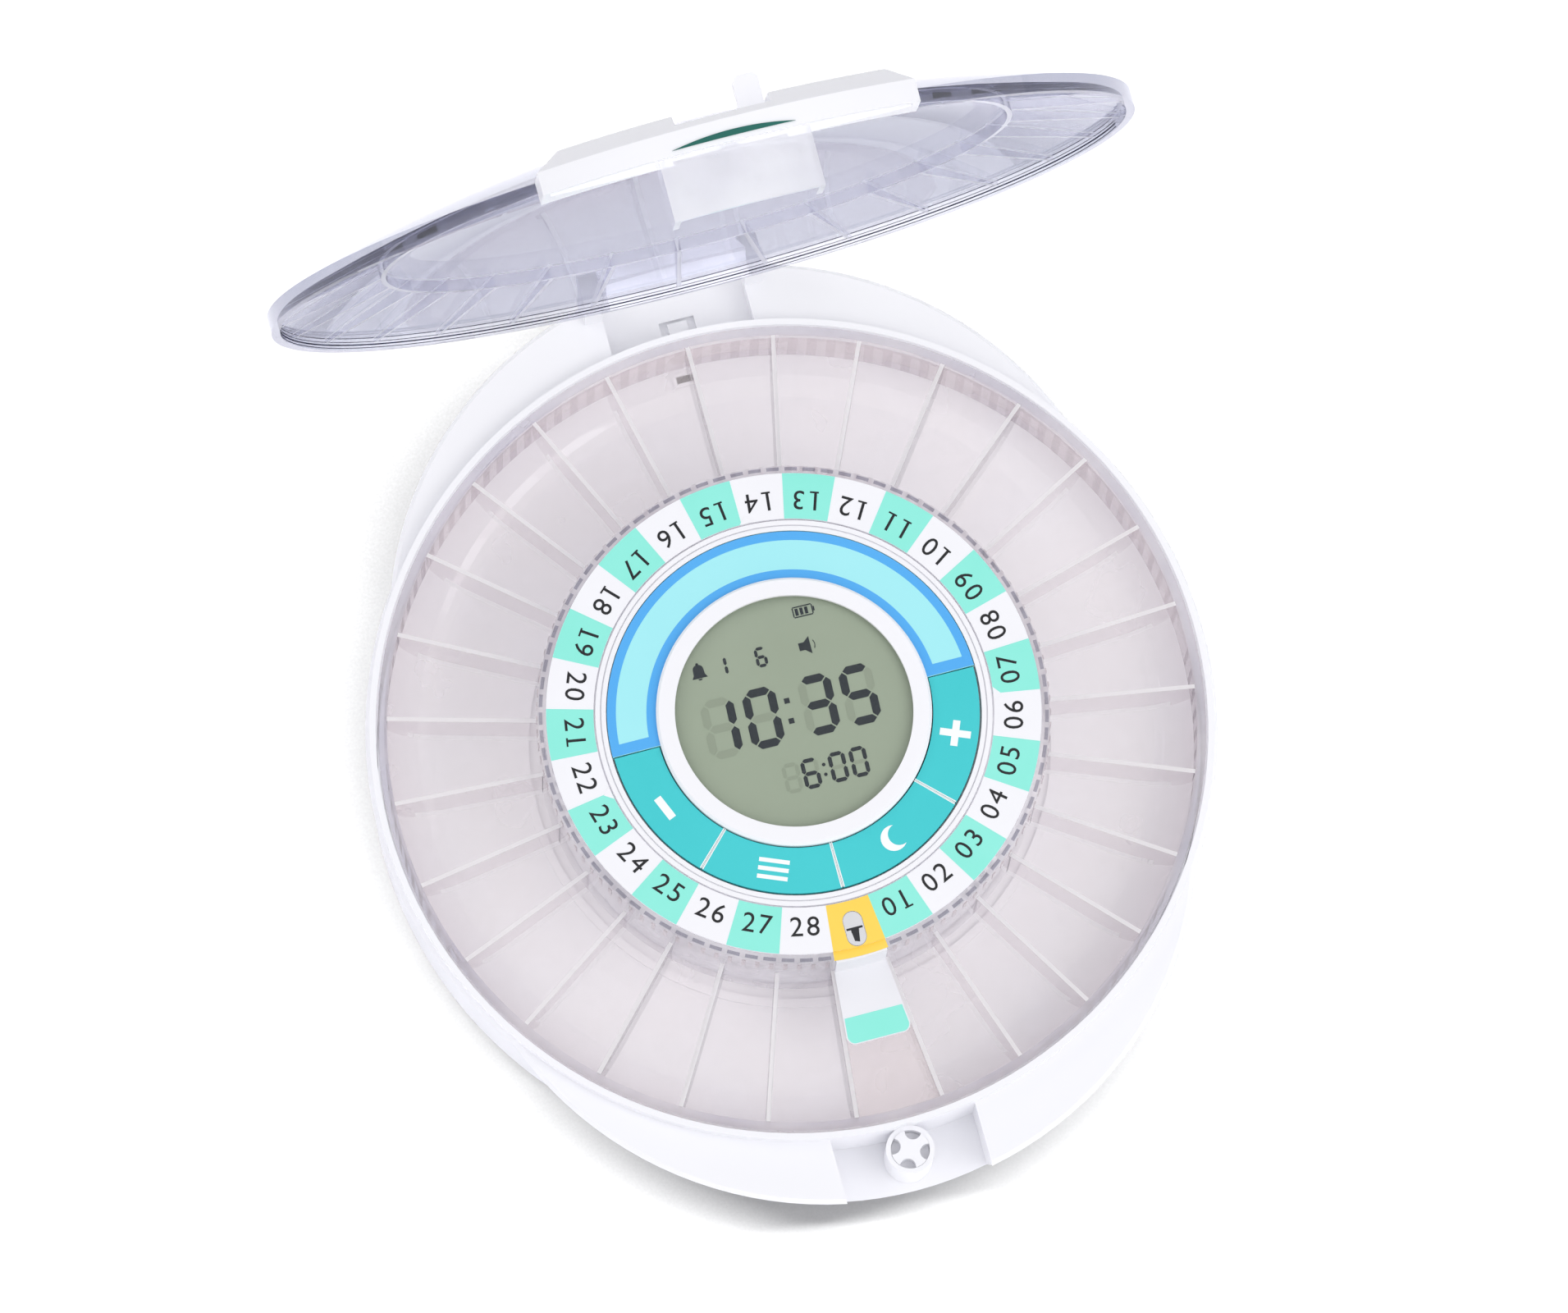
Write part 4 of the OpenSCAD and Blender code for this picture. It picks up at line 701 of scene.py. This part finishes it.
# Loudspeaker and one sound wave
horn = {"back": 5.1, "neck": 6.4, "mouth": 7.85, "neckY": (14.0, 15.9), "mouthY": (12.8, 17.1)}
wave = {"x": 8.3, "y": 14.95, "outer": 1.25, "inner": 0.95, "squeeze": 0.55, "half": 60, "steps": 8}
hornFoot, hornTop = ([(horn["back"], neckY), (horn["neck"], neckY), (horn["mouth"], mouthY)]
                     for neckY, mouthY in zip(horn["neckY"], horn["mouthY"]))
waveBand = sector(wave["inner"], wave["outer"], -wave["half"], wave["half"], wave["steps"])
waveBand = [(x * wave["squeeze"], y) for x, y in waveBand]
lit += [hornFoot + hornTop[::-1], moved(waveBand, wave["x"], wave["y"])]
flatPiece("lcd_segments_lit", [turned(outline, displayTurn) for outline in lit], segmentZ + ink["lift"],
          "base", segmentDark, ink["thick"])
ghostThick = 0.015
flatPiece("lcd_segments_unlit", [turned(outline, displayTurn) for outline in unlit], segmentZ, "base",
          segmentGhost, ghostThick)

print("tray details")
# Grey dashes round the card, three to a cell: painted shade, thin grey-tinted pieces on the flange for the
# pockets moulded in its underside
pocket = {"perCell": 3, "inner": 58.85, "outer": 59.7, "half": 1.5}
pocketHalf = math.degrees(pocket["half"] / pocket["outer"])
pocketAngles = [card["first"] + cellAngle * (0.5 + (k + 0.5) / pocket["perCell"])
                for k in range(card["cells"] * pocket["perCell"])]
pocketShades = [sector(pocket["inner"], pocket["outer"], angle - pocketHalf, angle + pocketHalf, 2)
           for angle in pocketAngles if pastStart(angle)]
flatPiece("flange_pocket_painted_shade", pocketShades, flangeTop + ink["lift"], "tray", pocketShadeClear,
          ink["thick"])

# Short ribs on the inner wall just under the card, seen as a dashed rim
ribbing = {"count": 116, "inner": 60.02, "outer": 60.35, "width": 1.0, "low": 45.0, "high": 49.6}
wallRib = box((ribbing["inner"] + ribbing["outer"]) / 2, 0, ribbing["outer"] - ribbing["inner"],
              ribbing["width"])
wallRibAngles = [360 * (k + 0.5) / ribbing["count"] for k in range(ribbing["count"])]
wallRibs = flatPiece("wall_ribs", [turned(wallRib, angle) for angle in wallRibAngles if pastStart(angle)],
                     ribbing["low"], "tray", trayClear, ribbing["high"] - ribbing["low"])
wallRibs.visible_glossy = False

print("lid lines")
# Fine grey lines round the inside of the lid's skirt: painted shade of moulded steps, thin dark-tinted
# bands.
# They are laid out on the closed lid, above its rim, and turned open with it.
lid = {"r": 98.0, "rim": 40.4, "hingeY": 112.1, "hingeZ": 48.0}
step = {"from": 6.0, "to": 175.5, "steps": 113, "inside": 0.08, "deep": 0.04,
        "lines": [(0.35, 0.16), (1.0, 0.3), (1.75, 0.14), (2.6, 0.2)]}
# Painted shade: dark grey clear for the step lines
stepShadeLook = dict(lidLook, face="#8d8e9c", middle="#85869a", edge="#70718a", hazeAmount=0.02, shine=0.4,
                cloudSize=9)
stepShadeClear = clearMaterial("polycarbonate_step_shaded", stepShadeLook)
hinge = Vector((0, lid["hingeY"] * mm, lid["hingeZ"] * mm))
opening = (Matrix.Translation(hinge) @ Matrix.Rotation(math.radians(-lidOpen), 4, "X")
           @ Matrix.Translation(-hinge))
lineShape = bmesh.new()
outer = lid["r"] - step["inside"]
inner = outer - step["deep"]
for foot, high in step["lines"]:
    corners = ((outer, foot), (inner, foot), (inner, foot + high), (outer, foot + high))
    rings = [[lineShape.verts.new(opening @ Vector((x * mm, y * mm, (lid["rim"] + z) * mm)))
              for x, y in arc(radius, step["from"], step["to"], step["steps"])] for radius, z in corners]
    for lower, upper in zip(rings, rings[1:] + rings[:1]):
        for k in range(step["steps"]):
            lineShape.faces.new((lower[k], lower[k + 1], upper[k + 1], upper[k]))
lineMesh = bpy.data.meshes.new("lid_step_painted_shade")
lineShape.to_mesh(lineMesh)
lineShape.free()
lidSteps = finishMesh("lid_step_painted_shade", lineMesh, "lid", stepShadeClear)
lidSteps.visible_shadow = False

print("stage")
# Paper sweep: its own lamp lifts it to white for the camera and leaves the shadow, while to the pieces
# it is a little darker. Its colour is painted brightest along the front of the product, a painted pool of
# light, and falls off to the back and far in front.
paper = {"reach": 6.0, "drop": 0.0002, "grain": 0.6, "grainShare": 0.1, "front": 0.1, "fall": 9.0,
         "start": 0.7, "near": "#a2a2a2", "far": "#8b8b8b", "toPieces": "#848488"}
floorMesh = bpy.data.meshes.new("floor")
floorCorners = [(x, y, -paper["drop"]) for x, y in box(0, 0, 2 * paper["reach"], 2 * paper["reach"])]
floorMesh.from_pydata(floorCorners, [], [(0, 1, 2, 3)])
floor = bpy.data.objects.new("floor", floorMesh)
bpy.context.scene.collection.objects.link(floor)
paperMaterial = newMaterial("paper_sweep_white")
tree = paperMaterial.node_tree
paperGrain = noise(tree, paper["grain"], 3)
place = addNode(tree, "ShaderNodeTexCoord").outputs["Object"]
backward = addNode(tree, "ShaderNodeSeparateXYZ", links={0: place}).outputs[1]
# Painted light: the paper's colour is lighter in a band along the product's front
fromFront = maths(tree, "ABSOLUTE", maths(tree, "ADD", backward, paper["front"]))
paperFall = maths(tree, "MULTIPLY_ADD", fromFront, paper["fall"], -paper["start"])
paperSeen = ramp(tree, paperFall, [(0.0, toLinear(paper["near"])), (1.0, toLinear(paper["far"]))])
seen = addNode(tree, "ShaderNodeLightPath").outputs["Is Camera Ray"]
paperColour = mixColour(tree, seen, toLinear(paper["toPieces"]), paperSeen)
fibre = maths(tree, "MULTIPLY", paperGrain, paper["grainShare"])
paperBase = mixColour(tree, fibre, paperColour, (1, 1, 1, 1))
output(tree, addNode(tree, "ShaderNodeBsdfDiffuse", links={"Color": paperBase}).outputs[0])
floor.data.materials.append(paperMaterial)

# Even studio light: white to the camera, soft panels for the gloss, dimmer behind the product than in front
studio = {"sides": (0.78, 0.78, 0.82, 1), "left": (0.95, 0.95, 0.97, 1), "middle": (1, 1, 1, 1),
          "level": 0.95, "lean": -0.3}
world = bpy.data.worlds.new("studio")
bpy.context.scene.world = world
world.use_nodes = True
tree = world.node_tree
tree.nodes.clear()
direction = addNode(tree, "ShaderNodeTexCoord").outputs["Generated"]
parts = addNode(tree, "ShaderNodeSeparateXYZ", links={0: direction}).outputs
sideways = maths(tree, "MULTIPLY_ADD", parts[0], 0.5, 0.5)
panel = ramp(tree, sideways, [(0.0, studio["sides"]), (0.3, studio["left"]), (0.55, studio["middle"]),
                              (1.0, studio["sides"])])
depthWise = maths(tree, "MULTIPLY_ADD", parts[1], studio["lean"], studio["level"])
room = addNode(tree, "ShaderNodeBackground", links={"Color": panel, "Strength": depthWise}).outputs[0]
plain = addNode(tree, "ShaderNodeBackground", {"Color": (1, 1, 1, 1), "Strength": 1.0}).outputs[0]
path = addNode(tree, "ShaderNodeLightPath").outputs["Is Camera Ray"]
addNode(tree, "ShaderNodeOutputWorld", links={"Surface": mixShader(tree, path, room, plain)})

# Lamps in metres and watts. One with an "only" lights that piece alone, as flags in a studio would have it:
# the sweep's lamp hangs high over the product, and low ones in front make the milky arm and the chute glow.
lamps = {
    "key": {"place": (0.9, -0.7, 1.2), "target": (0, 0, 0.05), "size": (0.9, 0.9), "power": 5.0},
    "side": {"place": (-1.0, 0.8, 0.9), "target": (0, 0, 0.05), "size": (0.6, 0.6), "power": 2.5},
    "sweep": {"place": (-0.01, -0.04, 1.6), "target": (0, 0, 0), "size": (2.2, 0.1), "power": 108.0,
              "only": floor},
    "arm_fill": {"place": (-0.1, -1.2, 0.4), "target": (0, 0.12, 0.12), "size": (0.5, 0.5), "power": 32.0,
                 "only": nodes["lid_arm"]},
    "chute_fill": {"place": (0.0, -1.2, 0.4), "target": (0, 0.12, 0.2), "size": (0.5, 0.5), "power": 8.0,
                   "only": nodes["chute_box"]},
}
for name, lamp in lamps.items():
    data = bpy.data.lights.new(name, "AREA")
    data.shape = "RECTANGLE"
    data.size, data.size_y = lamp["size"]
    data.energy = lamp["power"]
    item = bpy.data.objects.new(name, data)
    item.location = lamp["place"]
    item.rotation_mode = "QUATERNION"
    item.rotation_quaternion = (Vector(lamp["target"]) - Vector(lamp["place"])).to_track_quat("-Z", "Y")
    bpy.context.scene.collection.objects.link(item)
    if "only" in lamp:
        group = bpy.data.collections.new(name + "_only")
        group.objects.link(lamp["only"])
        item.light_linking.receiver_collection = group

# Camera worked out from the round parts of the photograph: pixels, degrees and metres
view = {"focalPixels": 10400.588, "photoWide": 1911, "sensor": 36, "azimuth": -111.61154215,
        "elevation": 75.52645171, "roll": 6.59856295, "away": 2.007232, "left": 0.0020134, "up": 0.0158302,
        "aim": (0, 0, 0.04)}
cameraData = bpy.data.cameras.new("camera")
cameraData.sensor_width = view["sensor"]
cameraData.lens = view["focalPixels"] / view["photoWide"] * view["sensor"]
cameraData.clip_start, cameraData.clip_end = 0.1, 20
camera = bpy.data.objects.new("camera", cameraData)
tilt = (Matrix.Rotation(math.radians(view["azimuth"] + 90), 4, "Z")
        @ Matrix.Rotation(math.radians(90 - view["elevation"]), 4, "X")
        @ Matrix.Rotation(math.radians(view["roll"]), 4, "Z"))
spot = Vector(view["aim"]) + tilt @ Vector((-view["left"], view["up"], view["away"]))
camera.matrix_world = Matrix.Translation(spot) @ tilt
bpy.context.scene.collection.objects.link(camera)
bpy.context.scene.camera = camera
bpy.context.scene.view_settings.view_transform = "Standard"
